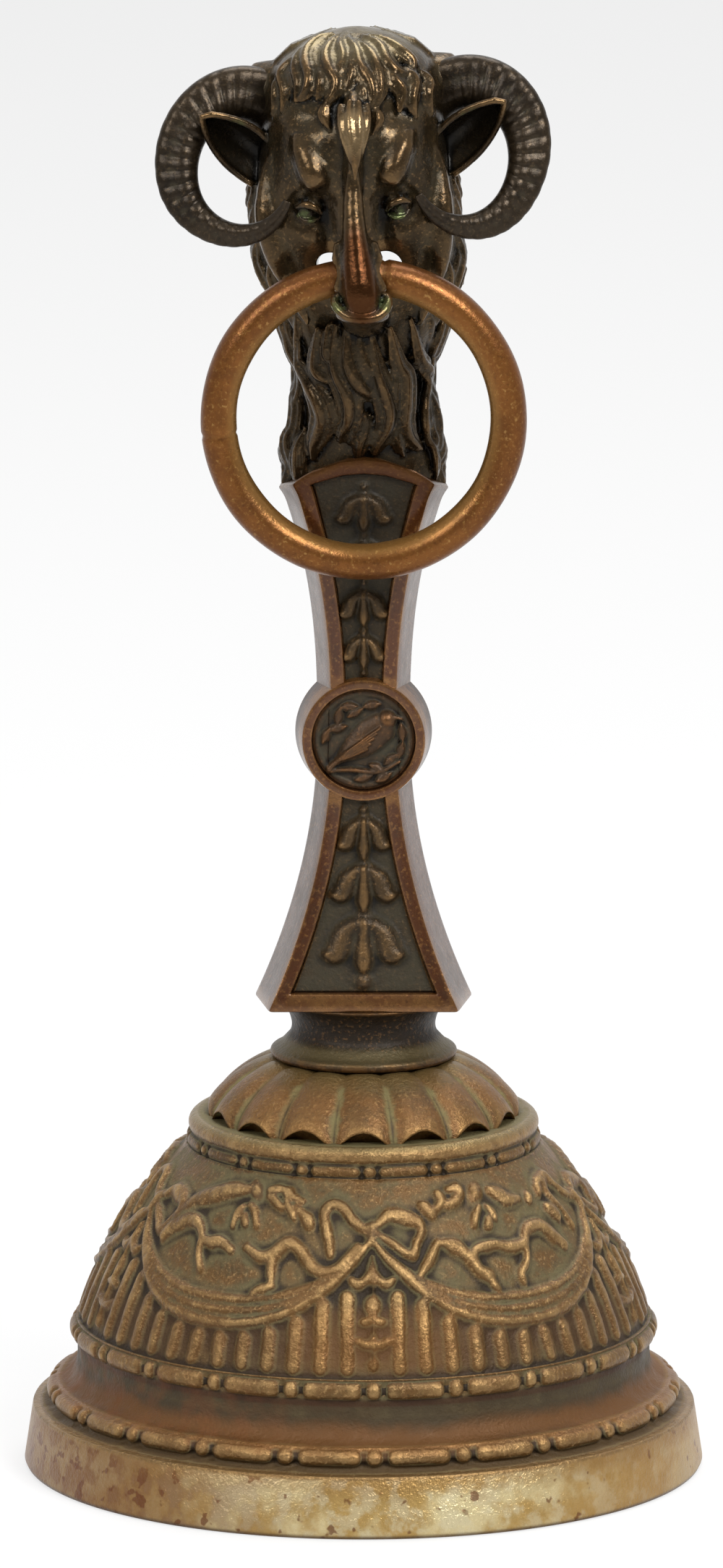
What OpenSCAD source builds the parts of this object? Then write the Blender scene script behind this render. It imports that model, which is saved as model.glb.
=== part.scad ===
// Service bell: a cast bronze table bell with a ram's-head handle, a nose ring and a clapper.
// Millimetres, +Z up. The origin is on the table, under the bell's axis, and the ram faces -Y.

/* [Bell cup] */
// Outer diameter of the rim
rim_d = 65; // [60:0.5:70]
// Height of the plain band at the rim
rim_band_h = 5.9; // [5:0.1:8]
// How far the band leans in towards its top
rim_draft = 0.8; // [0.2:0.1:1.5]
// Thickness of the rim at the foot
rim_lip_t = 3.6; // [2.5:0.1:5]
// Section radius of the bead above the band
base_bead_r = 1; // [0.8:0.1:1.4]
// How far that bead steps in from the band
base_bead_inset = 0.8; // [0.2:0.1:1.4]
// Height of the hollow moulding above that bead
cavetto_h = 4.3; // [3:0.1:6]
// Diameter at the narrowest place of the hollow moulding
waist_d = 54.8; // [52:0.2:57]
// Height of the hollow moulding's curve
cavetto_curve = 2.7; // [1.5:0.1:2.9]
// Section radius of the bead under the frieze
waist_bead_r = 1; // [0.7:0.1:1.3]
// How far that bead stands out from the hollow moulding
waist_bead_proud = 0.55; // [0.3:0.05:0.8]
// Height of the curved frieze wall
body_h = 16.2; // [13:0.2:18]
// Radius of the frieze wall's curve
body_curve_r = 41; // [30:1:80]
// Diameter at the top of the frieze wall
shoulder_d = 37.6; // [36.6:0.2:39]
// Section radius of the bead on the shoulder
shoulder_bead_r = 0.6; // [0.5:0.05:0.9]
// Section radius of the plain ring on the shoulder
shoulder_ring_r = 0.85; // [0.7:0.05:1.1]
// Thickness of the bell's wall
wall = 3; // [2.4:0.1:3.4]
// Thickness of the crown at the bolt
crown_t = 2.4; // [2:0.1:3]

/* [Crown cap] */
// Diameter over the cusps of the gadrooned edge
cap_d = 30.4; // [29.8:0.2:31.2]
// Height of the cap
cap_h = 6.4; // [5.6:0.1:8]
// Number of gadroons round the cap
gadroons = 16; // [10:1:24]
// How far a gadroon bulges at the edge
gadroon_bulge = 1.3; // [0.6:0.1:1.6]
// Diameter of the bell's domed seat inside the cap
dome_d = 26.8; // [24:0.2:27.6]
// Height of that domed seat
dome_h = 4; // [3.4:0.1:4.4]
// Radius of the cap's curve from edge to flange
cap_curve_r = 13; // [10:0.5:20]

/* [Neck spool] */
// Diameter of the flange on the cap
flange_d = 17.8; // [16.4:0.2:19]
// Thickness of the flange at its edge
flange_t = 0.9; // [0.6:0.1:1.2]
// Diameter at the narrowest place
neck_d = 14.1; // [12:0.2:15]
// Diameter of the top face
neck_top_d = 15.2; // [14:0.2:16]
// Height of the spool
spool_h = 5.7; // [4:0.1:7]

/* [Handle shaft] */
// Height from the foot of the shaft to the medallion's centre
shaft_lower_h = 25.8; // [24:0.1:32]
// Height from the medallion's centre to the corners of the arched top
shaft_upper_h = 24.8; // [20:0.1:28]
// Rise of the arched top
arch_rise = 2.4; // [1.5:0.1:3.2]
// Width of the front face at the foot
foot_w = 18.2; // [16:0.2:22]
// Width of the front face at the waist
waist_w = 6.2; // [5.6:0.2:7.4]
// Width of the front face at the arched top
top_w = 13.6; // [12.4:0.2:14.4]
// Depth of the shaft at the foot
foot_t = 15.4; // [15:0.2:18]
// Depth of the shaft at the waist
waist_t = 9.4; // [9:0.2:11]
// Depth of the shaft at the arched top
top_t = 11.2; // [10.4:0.2:12]
// How far the sides stand out at half depth
side_bevel = 1.3; // [0.6:0.1:1.8]
// Width of the frame round each plaque
frame_w = 1.4; // [1.2:0.1:1.6]
// Depth of a plaque's face under the frame
plaque_sink = 0.7; // [0.4:0.1:1]
// Thickness of a plaque
plaque_t = 0.9; // [0.6:0.1:1.1]

/* [Medallion] */
// Diameter of the round boss on the shaft
medallion_d = 11.7; // [11:0.1:13]
// Width of the boss's rim
medallion_rim = 0.95; // [0.8:0.05:1.3]
// How far the boss stands out from the shaft's face
medallion_proud = 0.25; // [0.1:0.05:0.6]

/* [Ram's head] */
// Height from the corners of the arched top to the ring's hole
nose_rise = 20.8; // [20:0.2:24]
// Height from the ring's hole to the top of the crown
crown_rise = 22.2; // [21:0.2:26]
// Width of the beard over the shaft
beard_w = 14.4; // [14:0.2:16]
// Width at the narrowest place of the beard
throat_w = 12.8; // [12:0.2:14]
// Width over the cheeks
cheek_w = 20.6; // [19:0.2:22]
// Width over the brow
brow_w = 19.4; // [18:0.2:21]
// Width of the crown under its top
crown_w = 16.2; // [15:0.2:17]
// How far the beard stands out in front at the ring
beard_front = 8; // [7.4:0.1:8.6]
// How far the brow stands out in front
brow_front = 10.6; // [10:0.1:11.4]
// How far the back of the head stands out behind
nape_back = 9.6; // [8.6:0.1:11]
// Number of locks of hair round the head
hair_locks = 12; // [8:2:14]
// How far a lock stands out from the hollow beside it
lock_rise = 1.3; // [0.6:0.1:1.5]
// How far a lock swings to each side as it falls, in degrees
lock_swing = 5; // [0:1:7]
// Fall of a lock over one wave
lock_wave_h = 9; // [7:0.5:12]
// How far a brow stands out from the forehead
brow_rise = 1.7; // [1:0.1:2]
// How far the forelock stands out from the forehead
forelock_rise = 1.6; // [1:0.1:2]
// Depth of an eye's socket
socket_depth = 1.4; // [0.8:0.1:1.8]
// Depth of the groove beside the nose
nose_groove = 1.2; // [0.6:0.1:1.6]
// Thickness of the nose in front of the ring
nose_t = 2.2; // [1.6:0.1:3]
// Thickness of the chin under the ring
chin_t = 2.2; // [1.8:0.1:3]
// Width of the nose beside the ring
nose_w = 4; // [3.4:0.1:4.6]
// Width of the mouth
mouth_w = 6.4; // [5.6:0.1:7]
// Width of the opening behind the nose
eye_gap_w = 10.6; // [9.6:0.2:11.6]
// Height of the opening behind the nose
eye_gap_h = 5.4; // [5:0.1:6]
// Slope of that opening towards the back, in degrees
eye_gap_slope = 9; // [0:1:12]

/* [Horns and ears] */
// Distance from the head's middle to the middle of a horn's curl
curl_x = 11.1; // [10.8:0.1:12.4]
// Height of the curl's middle over the ring's hole
curl_rise = 9.9; // [9.6:0.1:11.2]
// Half width of the curl along the horn's middle line
curl_rx = 5.5; // [5:0.1:6.2]
// Half height of the curl along the horn's middle line
curl_rz = 6.3; // [5.8:0.1:7]
// Thickness of a horn at its root
horn_root_t = 5.4; // [4.8:0.1:6]
// Thickness of a horn at its tip
horn_tip_t = 0.9; // [0.6:0.1:1.6]
// Number of ridges along a horn
horn_ridges = 15; // [8:1:18]
// Length of an ear
ear_l = 7.4; // [6.4:0.1:8.4]
// Width of an ear
ear_w = 4.4; // [3.6:0.1:5]

/* [Nose ring] */
// Outer diameter of the ring
ring_d = 30.8; // [28:0.2:34]
// Thickness of the ring's wire
ring_wire = 3.5; // [3:0.1:3.8]
// Room round the wire in the hole behind the nose
ring_clear = 0.6; // [0.5:0.05:0.8]
// Room between the ring and the beard
ring_gap = 0.65; // [0.4:0.05:1.2]

/* [Fixings] */
// Diameter of the eye bolt
bolt_d = 5; // [4:0.5:5]
// How far the eye bolt screws into the shaft
bolt_grip = 14; // [10:0.5:15]
// Room round the bolt in the parts that it clamps
bolt_clear = 0.2; // [0.1:0.05:0.4]
// Width of the nut across its flats
nut_w = 8; // [7:0.5:9]
// Height of the nut
nut_h = 3.2; // [2.4:0.2:4]
// Diameter of the washer
washer_d = 11; // [10:0.5:12]
// Thickness of the washer
washer_t = 0.8; // [0.5:0.1:1.2]
// Diameter of the stud between shaft and head
stud_d = 4; // [3:0.5:4]
// How far that stud screws in at each end
stud_grip = 9; // [6:0.5:10]
// Diameter of a horn's pin
pin_d = 1.6; // [1.2:0.1:2]
// Length of a horn's pin
pin_l = 6; // [5:0.5:7]

/* [Clapper] */
// Thickness of the staple's wire
staple_wire = 1.7; // [1.4:0.1:2]
// Height of the staple's window
staple_window_h = 2.3; // [2:0.1:3]
// Width of the staple's window
staple_window_w = 2.3; // [2.2:0.1:3]
// Thickness of the wire of the clapper's eye
eye_wire = 1.6; // [1.2:0.1:1.8]
// Room between the clapper's eye and the staple
eye_clear = 0.15; // [0.1:0.05:0.25]
// Play of the staple's bar across the clapper's eye
eye_play = 0.9; // [0.6:0.1:1.2]
// Thickness of the clapper's rod
rod_d = 2; // [1.6:0.1:2.6]
// Diameter of the clapper's ball
ball_d = 12; // [9:0.5:13]
// Height of the ball over the table
ball_lift = 1.6; // [1:0.1:4]

/* [Hidden] */
$fn = 64;

// Colours, as the photo shows them
bronze = "#6b4a2c";
dark_bronze = "#3d3027";
frame_bronze = "#6a4220";
ring_bronze = "#8a5a2a";
brass = "#a8843f";
steel = "#8d8f92";

// How far a cut runs past the face that it opens
over = 1;

// Heights of the bell cup's mouldings
base_bead_z = rim_band_h + base_bead_r;
cavetto_z = base_bead_z + base_bead_r;
waist_bead_z = cavetto_z + cavetto_h + waist_bead_r;
body_z = waist_bead_z + waist_bead_r;
shoulder_z = body_z + body_h;
shoulder_bead_z = shoulder_z + shoulder_bead_r;
shoulder_ring_z = shoulder_bead_z + shoulder_bead_r + shoulder_ring_r;
seat_z = shoulder_ring_z + shoulder_ring_r;
dome_z = seat_z + dome_h;
crown_z = dome_z - crown_t;

// Radii of the bell cup's mouldings
rim_r = rim_d / 2;
band_top_r = rim_r - rim_draft;
waist_r = waist_d / 2;
shoulder_r = shoulder_d / 2;
shoulder_bead_centre_r = shoulder_r - 2 * shoulder_bead_r;
shoulder_ring_centre_r = shoulder_bead_centre_r - shoulder_bead_r;
dome_curve_r = (pow(dome_d / 2, 2) + pow(dome_h, 2)) / (2 * dome_h);
bolt_hole_r = bolt_d / 2 + bolt_clear;
washer_room = 0.5;

// Heights of the stack above the cup
spool_z = seat_z + cap_h;
shaft_z = spool_z + spool_h;
medallion_z = shaft_z + shaft_lower_h;
corner_z = medallion_z + shaft_upper_h;
arch_z = corner_z + arch_rise;
nose_z = corner_z + nose_rise;
top_z = nose_z + crown_rise;
brow_z = mix(nose_z, top_z, 0.38);

// The arched top of the shaft is part of a cylinder lying front to back
arch_r = (pow(top_w / 2, 2) + pow(arch_rise, 2)) / (2 * arch_rise);
arch_centre_z = arch_z - arch_r;

// Ends of the plaques and size of the medallions
plaque_margin = 0.3;
lower_plaque_z0 = shaft_z + frame_w + plaque_margin;
lower_plaque_z1 = medallion_z - medallion_d / 2 - plaque_margin;
upper_plaque_z0 = medallion_z + medallion_d / 2 + plaque_margin;
disc_r = medallion_d / 2 - medallion_rim;

// The ring hangs in front of the beard, in a hole behind the nose
ring_y = beard_front + ring_gap + ring_wire / 2;
ring_r = (ring_d - ring_wire) / 2;
hole_r = ring_wire / 2 + ring_clear;
nose_front = ring_y + hole_r + nose_t;
chin_z = nose_z - hole_r - chin_t;

// Places of the face, as distance from its middle and height over the ring's hole
eye_at = [4.4, 6.6];
eye_reach = 2.2;
brow_ends = [[2.6, 8.8], [5.2, 12.8]];
brow_reach = 1.9;
forelock_ends = [[0, 10], [0, 15.5]];
forelock_reach = 2;
groove_ends = [[2.6, 3], [2.6, 7]];
groove_reach = 1.3;

// Heights over the ring's hole where the crown's hair starts and the sides' hair ends
crown_hair_rise = 14.5;
side_hair_rise = 9;

// Course of a horn about its curl, and the place of its pin
curl_z = nose_z + curl_rise;
horn_a0 = 140;
horn_a1 = -142;
horn_root_y = 2.5;
horn_tip_y = -8.4;
pin_at = [4.6, horn_root_y, curl_z + 5.2];

// Root and lean of an ear
ear_root = [8.8, -3.4, nose_z + 9.6];
ear_lean = 46;
ear_seat = 2.5;

// The clapper's bar, eye and ball
washer_z = crown_z - washer_t;
nut_z = washer_z - nut_h;
collar_t = 1.2;
collar_lip = 0.15;
thread_show = 0.2;
collar_z = nut_z - thread_show - collar_t;
bar_z = collar_z - staple_window_h - staple_wire / 2;
eye_r = (staple_wire + eye_play + eye_wire) / 2;
eye_z = bar_z - eye_play / 2 + eye_clear;
ball_z = ball_lift + ball_d / 2;

function mix(a, b, t) = a + (b - a) * t;

// Points along an arc about a centre
function arc(c, r, a0, a1, n) = [
    for (i = [0:n]) let (a = mix(a0, a1, i / n)) [c.x + r * cos(a), c.y + r * sin(a)]
];

// The centre of an arc of radius r from p to q that bulges to the right of that direction
function arc_centre(p, q, r) =
    let (d = q - p, l = norm(d)) (p + q) / 2 + sqrt(r * r - l * l / 4) / l * [-d.y, d.x];

// Points along that arc, or along one set in from it
function arc_between(p, q, r, n, inset = 0) =
    let (
        c = arc_centre(p, q, r),
        a0 = atan2(p.y - c.y, p.x - c.x),
        a1 = atan2(q.y - c.y, q.x - c.x)
    )
    arc(c, r - inset, a0, a1 < a0 ? a1 + 360 : a1, n);

function backwards(list) = [for (i = [len(list) - 1:-1:0]) list[i]];

// A closed skin over rings of equal length, each anticlockwise from above
module loft(rings) {
    n = len(rings[0]);
    m = len(rings);
    polyhedron(
        points = [for (r = rings) each r],
        faces = [
            [for (i = [0:n - 1]) i],
            for (j = [0:m - 2], i = [0:n - 1]) let (a = j * n + i, b = j * n + (i + 1) % n)
                each [[a, a + n, b + n], [a, b + n, b]],
            [for (i = [n - 1:-1:0]) (m - 1) * n + i]
        ]
    );
}

// A squarish oval at one height, with its own reach to the front and to the back
oval_power = 0.87;
function oval(z, half_w, front, back, y = 0, n = 24) = [
    for (i = [0:n - 1]) let (c = cos(360 * i / n), s = sin(360 * i / n), deep = s < 0 ? front : back)
        [sign(c) * half_w * pow(abs(c), oval_power), y + sign(s) * deep * pow(abs(s), oval_power), z]
];

// A bar lying front to back
module cross_bar(r, y0, y1, x = 0, z = 0) {
    translate([x, y0, z]) rotate([-90, 0, 0]) cylinder(r = r, h = y1 - y0);
}

// Bell cup: the sounding shell, with its turned mouldings
module bell_cup() {
    chamfer = 0.4;
    bead_r = band_top_r - base_bead_inset - base_bead_r;
    flat_r = washer_d / 2 + washer_room;
    body_foot = [waist_r, body_z];
    shoulder = [shoulder_r, shoulder_z];
    outer = concat(
        [[rim_r - chamfer, 0], [rim_r, chamfer], [band_top_r, rim_band_h]],
        arc([bead_r, base_bead_z], base_bead_r, -30, 80, 6),
        [for (a = [0:15:90]) [mix(bead_r, waist_r, sin(a)), cavetto_z + cavetto_curve * (1 - cos(a))]],
        arc([waist_r + waist_bead_proud - waist_bead_r, waist_bead_z], waist_bead_r, -70, 70, 8),
        arc_between(body_foot, shoulder, body_curve_r, 10),
        arc([shoulder_bead_centre_r, shoulder_bead_z], shoulder_bead_r, -60, 75, 6),
        arc([shoulder_ring_centre_r, shoulder_ring_z], shoulder_ring_r, -65, 90, 7),
        arc([0, dome_z - dome_curve_r], dome_curve_r,
            acos(dome_d / 2 / dome_curve_r), acos(bolt_hole_r / dome_curve_r), 8)
    );
    inner = concat(
        [[bolt_hole_r, crown_z], [flat_r, crown_z]],
        backwards(arc_between(body_foot, shoulder, body_curve_r, 10, wall)),
        [[waist_r - wall, cavetto_z + cavetto_h / 2]],
        [[band_top_r - rim_lip_t, rim_band_h], [rim_r - rim_lip_t, 0]]
    );
    color(bronze) rotate_extrude() polygon(concat(outer, inner));
}

// Crown cap: a gadrooned dome that sits on the cup's crown
module crown_cap() {
    steps = 6;
    levels = 7;
    inset = 0.5;
    meridian = arc_between([cap_d / 2 - inset, inset], [flange_d / 2, cap_h], cap_curve_r, levels);
    places = [for (k = [0:gadroons * steps - 1]) 360 * (k / steps - 0.5) / gadroons - 90];
    function across(k) = abs(2 * (k % steps) / steps - 1);
    function ring(r, z) = [for (a = places) [r * cos(a), r * sin(a), z]];
    function lobes(i) = let (
        run = meridian[min(i + 1, levels)] - meridian[max(i - 1, 0)],
        out = [run.y, -run.x] / norm(run),
        bulge = gadroon_bulge * (1 - 0.7 * i / levels)
    ) [
        for (k = [0:len(places) - 1]) let (p = meridian[i] + out * bulge * sqrt(1 - pow(across(k), 2)))
            [p.x * cos(places[k]), p.x * sin(places[k]), min(p.y, cap_h)]
    ];
    color(bronze) difference() {
        translate([0, 0, seat_z]) loft(concat(
            [ring(cap_d / 2 - 2 * inset, 0)],
            [for (i = [0:levels - 1]) lobes(i)],
            [ring(flange_d / 2 - inset, cap_h)]
        ));
        translate([0, 0, dome_z - dome_curve_r]) sphere(r = dome_curve_r);
        translate([0, 0, seat_z]) cylinder(r = bolt_hole_r, h = cap_h + over);
    }
}

// Neck spool: a turned collar between the cap and the handle
module neck_spool() {
    edge = 0.3;
    waist_at = 0.55;
    flange_r = flange_d / 2;
    foot_r = flange_r - 2 * edge;
    throat_h = spool_h - flange_t;
    hollow = [
        for (i = [0:8]) let (
            t = i / 8,
            end_r = t < waist_at ? foot_r : neck_top_d / 2,
            far = t < waist_at ? 1 - t / waist_at : (t - waist_at) / (1 - waist_at)
        ) [mix(neck_d / 2, end_r, far * far), spool_z + flange_t + throat_h * t]
    ];
    color(dark_bronze) rotate_extrude() polygon(concat(
        [
            [bolt_hole_r, spool_z],
            [flange_r - edge, spool_z],
            [flange_r, spool_z + edge],
            [flange_r, spool_z + flange_t - edge],
            [flange_r - edge, spool_z + flange_t]
        ],
        hollow,
        [[bolt_hole_r, shaft_z]]
    ));
}

// The shaft's front face at a height: how far from the medallion, its half width and its distance
function reach(z) = z < medallion_z ? (medallion_z - z) / shaft_lower_h : (z - medallion_z) / shaft_upper_h;
function face_half_w(z) = z < medallion_z
    ? mix(waist_w, foot_w, pow(reach(z), 2)) / 2
    : mix(waist_w, top_w, pow(reach(z), 2.6)) / 2;
function face_y(z) = mix(waist_t, z < medallion_z ? foot_t : top_t, pow(reach(z), 2)) / 2;
function heights(z0, z1, n) = [for (i = [0:n]) mix(z0, z1, i / n)];

// A slab that follows the front face inside its frame, between two depths under that face
module face_slab(z0, z1, shallow, deep) {
    loft([
        for (z = heights(z0, z1, 8)) let (
            w = face_half_w(z) - frame_w,
            y0 = deep - face_y(z),
            y1 = shallow - face_y(z)
        ) [[w, y0, z], [-w, y0, z], [-w, y1, z], [w, y1, z]]
    ]);
}

module lower_slab(shallow, deep) {
    face_slab(lower_plaque_z0, lower_plaque_z1, shallow, deep);
}

module upper_slab(shallow, deep) {
    intersection() {
        face_slab(upper_plaque_z0, arch_z, shallow, deep);
        cross_bar(arch_r - frame_w, -foot_t, 0, 0, arch_centre_z);
    }
}

// Handle shaft: a waisted bar with a frame and a round boss on its front and its back
module handle_shaft() {
    boss_y = waist_t / 2 + medallion_proud;
    lower = heights(shaft_z, medallion_z, 8);
    upper = heights(medallion_z, arch_z + over, 9);
    levels = concat(lower, [for (i = [1:len(upper) - 1]) upper[i]]);
    module sides() {
        children();
        mirror([0, 1, 0]) children();
    }
    color(frame_bronze) difference() {
        union() {
            intersection() {
                loft([
                    for (z = levels) let (w = face_half_w(z), y = face_y(z), m = w + side_bevel)
                        [[m, 0, z], [w, y, z], [-w, y, z], [-m, 0, z], [-w, -y, z], [w, -y, z]]
                ]);
                union() {
                    translate([-foot_w, -foot_t, shaft_z - over])
                        cube([2 * foot_w, 2 * foot_t, arch_centre_z - shaft_z + over]);
                    cross_bar(arch_r, -foot_t, foot_t, 0, arch_centre_z);
                }
            }
            sides() translate([0, 0, medallion_z]) rotate([90, 0, 0])
                cylinder(r1 = (medallion_d + side_bevel) / 2, r2 = medallion_d / 2, h = boss_y);
        }
        sides() lower_slab(-over, plaque_sink + plaque_t);
        sides() upper_slab(-over, plaque_sink + plaque_t);
        sides() cross_bar(disc_r, -boss_y - over, plaque_sink + plaque_t - boss_y, 0, medallion_z);
        translate([0, 0, shaft_z - over]) cylinder(d = bolt_d, h = bolt_grip + over);
        translate([0, 0, arch_z - stud_grip]) cylinder(d = stud_d, h = stud_grip + over);
    }
}

// Medallions: round relief plaques let into the boss
module medallion() {
    face = plaque_sink - waist_t / 2 - medallion_proud;
    color(dark_bronze) cross_bar(disc_r, face, face + plaque_t, 0, medallion_z);
}

module front_medallion() {
    medallion();
}

module rear_medallion() {
    mirror([0, 1, 0]) medallion();
}

// Bellflower plaques: relief strips let into the frames above and below the boss
module upper_plaque() {
    color(dark_bronze) upper_slab(plaque_sink, plaque_sink + plaque_t);
}

module lower_plaque() {
    color(dark_bronze) lower_slab(plaque_sink, plaque_sink + plaque_t);
}

module front_upper_plaque() {
    upper_plaque();
}

module front_lower_plaque() {
    lower_plaque();
}

module rear_upper_plaque() {
    mirror([0, 1, 0]) upper_plaque();
}

module rear_lower_plaque() {
    mirror([0, 1, 0]) lower_plaque();
}

// Ram's head: heights of the skull, with its half width and its reach to the front and the back there
throat_z = mix(arch_z, chin_z, 0.3);
skull_keys = [
    [corner_z - arch_rise, beard_w / 2, top_t / 2 - 1.6, top_t / 2 + 0.2],
    [arch_z, beard_w / 2, top_t / 2 - 1, top_t / 2 + 0.8],
    [throat_z, throat_w / 2, beard_front - 2, nape_back - 2.9],
    [mix(throat_z, chin_z, 0.5), mix(throat_w, cheek_w, 0.08) / 2, beard_front - 1.2, nape_back - 2],
    [chin_z, mix(throat_w, cheek_w, 0.6) / 2, beard_front - 0.6, nape_back - 1],
    [nose_z - 1, cheek_w / 2, beard_front, nape_back - 0.4],
    [mix(nose_z, brow_z, 0.5), cheek_w / 2, mix(beard_front, brow_front, 0.6), nape_back],
    [brow_z, brow_w / 2, brow_front, nape_back],
    [mix(brow_z, top_z, 0.3), mix(brow_w, crown_w, 0.35) / 2, brow_front - 0.2, nape_back - 0.4],
    [mix(brow_z, top_z, 0.55), mix(brow_w, crown_w, 0.75) / 2, brow_front - 1.2, nape_back - 1.2],
    [mix(brow_z, top_z, 0.74), crown_w / 2, brow_front - 2.6, nape_back - 2.3],
    [mix(brow_z, top_z, 0.86), 0.84 * crown_w / 2, brow_front - 4, nape_back - 3.7],
    [mix(brow_z, top_z, 0.945), 0.6 * crown_w / 2, brow_front - 5.9, nape_back - 5.4],
    [top_z, 0.28 * crown_w / 2, brow_front - 8.1, nape_back - 7.4]
];
function skull_size(z, column) = lookup(z, [for (key = skull_keys) [key[0], key[column]]]);
function ramp(t) = min(1, max(0, t));

// How far a place stands out: 1 on a line between two points, 0 at the line's reach
function swell(at, ends, reach) =
    let (
        d = ends[1] - ends[0],
        t = d * d > 0 ? ramp((at - ends[0]) * d / (d * d)) : 0,
        off = at - ends[0] - t * d
    )
    max(0, 1 - off * off / (reach * reach));

// Brows, forelock, eye sockets and the grooves beside the nose
function face_rise(x, z) = let (at = [abs(x), z - nose_z])
    brow_rise * swell(at, brow_ends, brow_reach)
    + forelock_rise * swell(at, forelock_ends, forelock_reach)
    - socket_depth * swell(at, [eye_at, eye_at], eye_reach)
    - nose_groove * swell(at, groove_ends, groove_reach);

// Locks of hair on the beard, the crown and the nape, but not where the horns are seated
function hair_rise(s, z) =
    let (
        turn = acos(-s) + lock_swing * sin(360 * (z - nose_z) / lock_wave_h),
        beard = ramp((chin_z - z) / 2),
        crown = s < 0 ? ramp((z - nose_z - crown_hair_rise) / 2) : 1,
        side = ramp((side_hair_rise - z + nose_z) / 2) * ramp(4 * (s + 0.15)),
        hairy = max(beard, side, crown * ramp(8 * (abs(s) - 0.7)))
    )
    lock_rise / 2 * hairy * cos(hair_locks * turn);

// Beard, cheeks and crown as one skin, with or without their relief
module skull(relief = true, z0 = 0) {
    n = 60;
    steps = 3;
    between = [
        for (j = [0:len(skull_keys) - 2], i = [0:steps - 1])
            mix(skull_keys[j][0], skull_keys[j + 1][0], i / steps)
    ];
    loft([
        for (z = concat(between, [top_z])) if (z >= z0) let (
            w = skull_size(z, 1),
            front = skull_size(z, 2),
            back = skull_size(z, 3)
        ) [
            for (i = [0:n - 1]) let (
                c = cos(360 * i / n),
                s = sin(360 * i / n),
                deep = s < 0 ? front : back,
                x = sign(c) * w * pow(abs(c), oval_power),
                y = sign(s) * deep * pow(abs(s), oval_power),
                out = relief ? hair_rise(s, z) : 0,
                face = relief && s < 0 ? face_rise(x, z) : 0
            ) [x * (1 + out / w), y * (1 + out / deep) - face, z]
        ]
    ]);
}

module nose() {
    root_y = beard_front - 3;
    function slice(z, half_w, front) = oval(z, half_w, front - root_y, 1, -root_y, 16);
    loft([
        slice(chin_z, 0.35 * mouth_w, nose_front - 1.2),
        slice(chin_z + 0.9, mouth_w / 2, nose_front),
        slice(nose_z - hole_r, 0.45 * mouth_w, nose_front + 0.1),
        slice(nose_z, nose_w / 2, nose_front),
        slice(nose_z + hole_r + 0.5, 0.47 * nose_w, nose_front - 0.7),
        slice(mix(nose_z, brow_z, 0.75), 0.43 * nose_w, mix(nose_front, brow_front, 0.5)),
        slice(brow_z + 1.5, 0.38 * nose_w, brow_front + 0.4)
    ]);
}

module ear() {
    thick = 0.8;
    full = [[0, 0.7], [0.35, 1], [0.7, 0.75], [0.95, 0.25], [1.02, 0.08]];
    translate([ear_root.x, ear_root.y, ear_root.z]) rotate([10, ear_lean, 0]) loft([
        for (f = full) let (t = thick * sqrt(f[1]))
            oval(f[0] * (ear_l + ear_seat) - ear_seat, ear_w / 2 * f[1], t, t, 0, 12)
    ]);
}

// The opening behind the nose, which the ring passes through and light shows through
module nose_opening() {
    half_h = eye_gap_h / 2;
    side = eye_gap_w / 2 - half_h;
    run = ring_y + nape_back + 5;
    translate([-cheek_w / 2, -ring_y, nose_z]) rotate([0, 90, 0]) cylinder(r = hole_r, h = cheek_w);
    translate([0, -ring_y, nose_z - hole_r + half_h]) rotate([-90 - eye_gap_slope, 0, 0]) {
        for (x = [-side, side]) translate([x, 0, 0]) cylinder(r = half_h, h = run);
        translate([-side, -half_h, 0]) cube([2 * side, eye_gap_h, run]);
    }
}

module ram_head() {
    color(dark_bronze) difference() {
        union() {
            skull();
            nose();
            ear();
            mirror([1, 0, 0]) ear();
        }
        nose_opening();
        cross_bar(arch_r, -nose_front, nose_front, 0, arch_centre_z);
        translate([0, 0, arch_z - over]) cylinder(d = stud_d, h = stud_grip + over);
        pin();
        mirror([1, 0, 0]) pin();
    }
}

// Horns: ridged curls from the crown, out, down and forward to a point on the cheek
module horn() {
    sides = 10;
    rings = 3 * horn_ridges;
    color(dark_bronze) difference() {
        loft([
            for (j = [0:rings]) let (
                t = j / rings,
                a = mix(horn_a0, horn_a1, t),
                ridge = 1 + 0.1 * (j % 3 == 1 ? 1 : 0),
                r = mix(horn_root_t, horn_tip_t, pow(t, 1.25)) / 2 * (t < 0.97 ? ridge : 1),
                y = mix(horn_root_y, horn_tip_y, pow(t, 1.3))
            ) [
                for (i = [0:sides - 1]) let (b = 360 * i / sides)
                    [
                        curl_x + (curl_rx + r * cos(b)) * cos(a),
                        y + r * sin(b),
                        curl_z + (curl_rz + r * cos(b)) * sin(a)
                    ]
            ]
        ]);
        skull(false, nose_z);
        pin();
    }
}

module right_horn() {
    horn();
}

module left_horn() {
    mirror([1, 0, 0]) horn();
}

// Horn pins: a plain dowel through each horn's root into the head
module pin() {
    translate(pin_at) rotate([0, 90, 0]) cylinder(d = pin_d, h = pin_l);
}

module horn_pins() {
    color(steel) {
        pin();
        mirror([1, 0, 0]) pin();
    }
}

// Head stud: joins the shaft's arched top to the head
module head_stud() {
    color(steel) translate([0, 0, arch_z - stud_grip]) cylinder(d = stud_d, h = 2 * stud_grip);
}

// Nose ring: a closed ring of round rod, free behind the nose
module nose_ring() {
    color(ring_bronze) translate([0, -ring_y, nose_z - ring_r]) rotate([90, 0, 0])
        rotate_extrude() translate([ring_r, 0]) circle(d = ring_wire);
}

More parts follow.
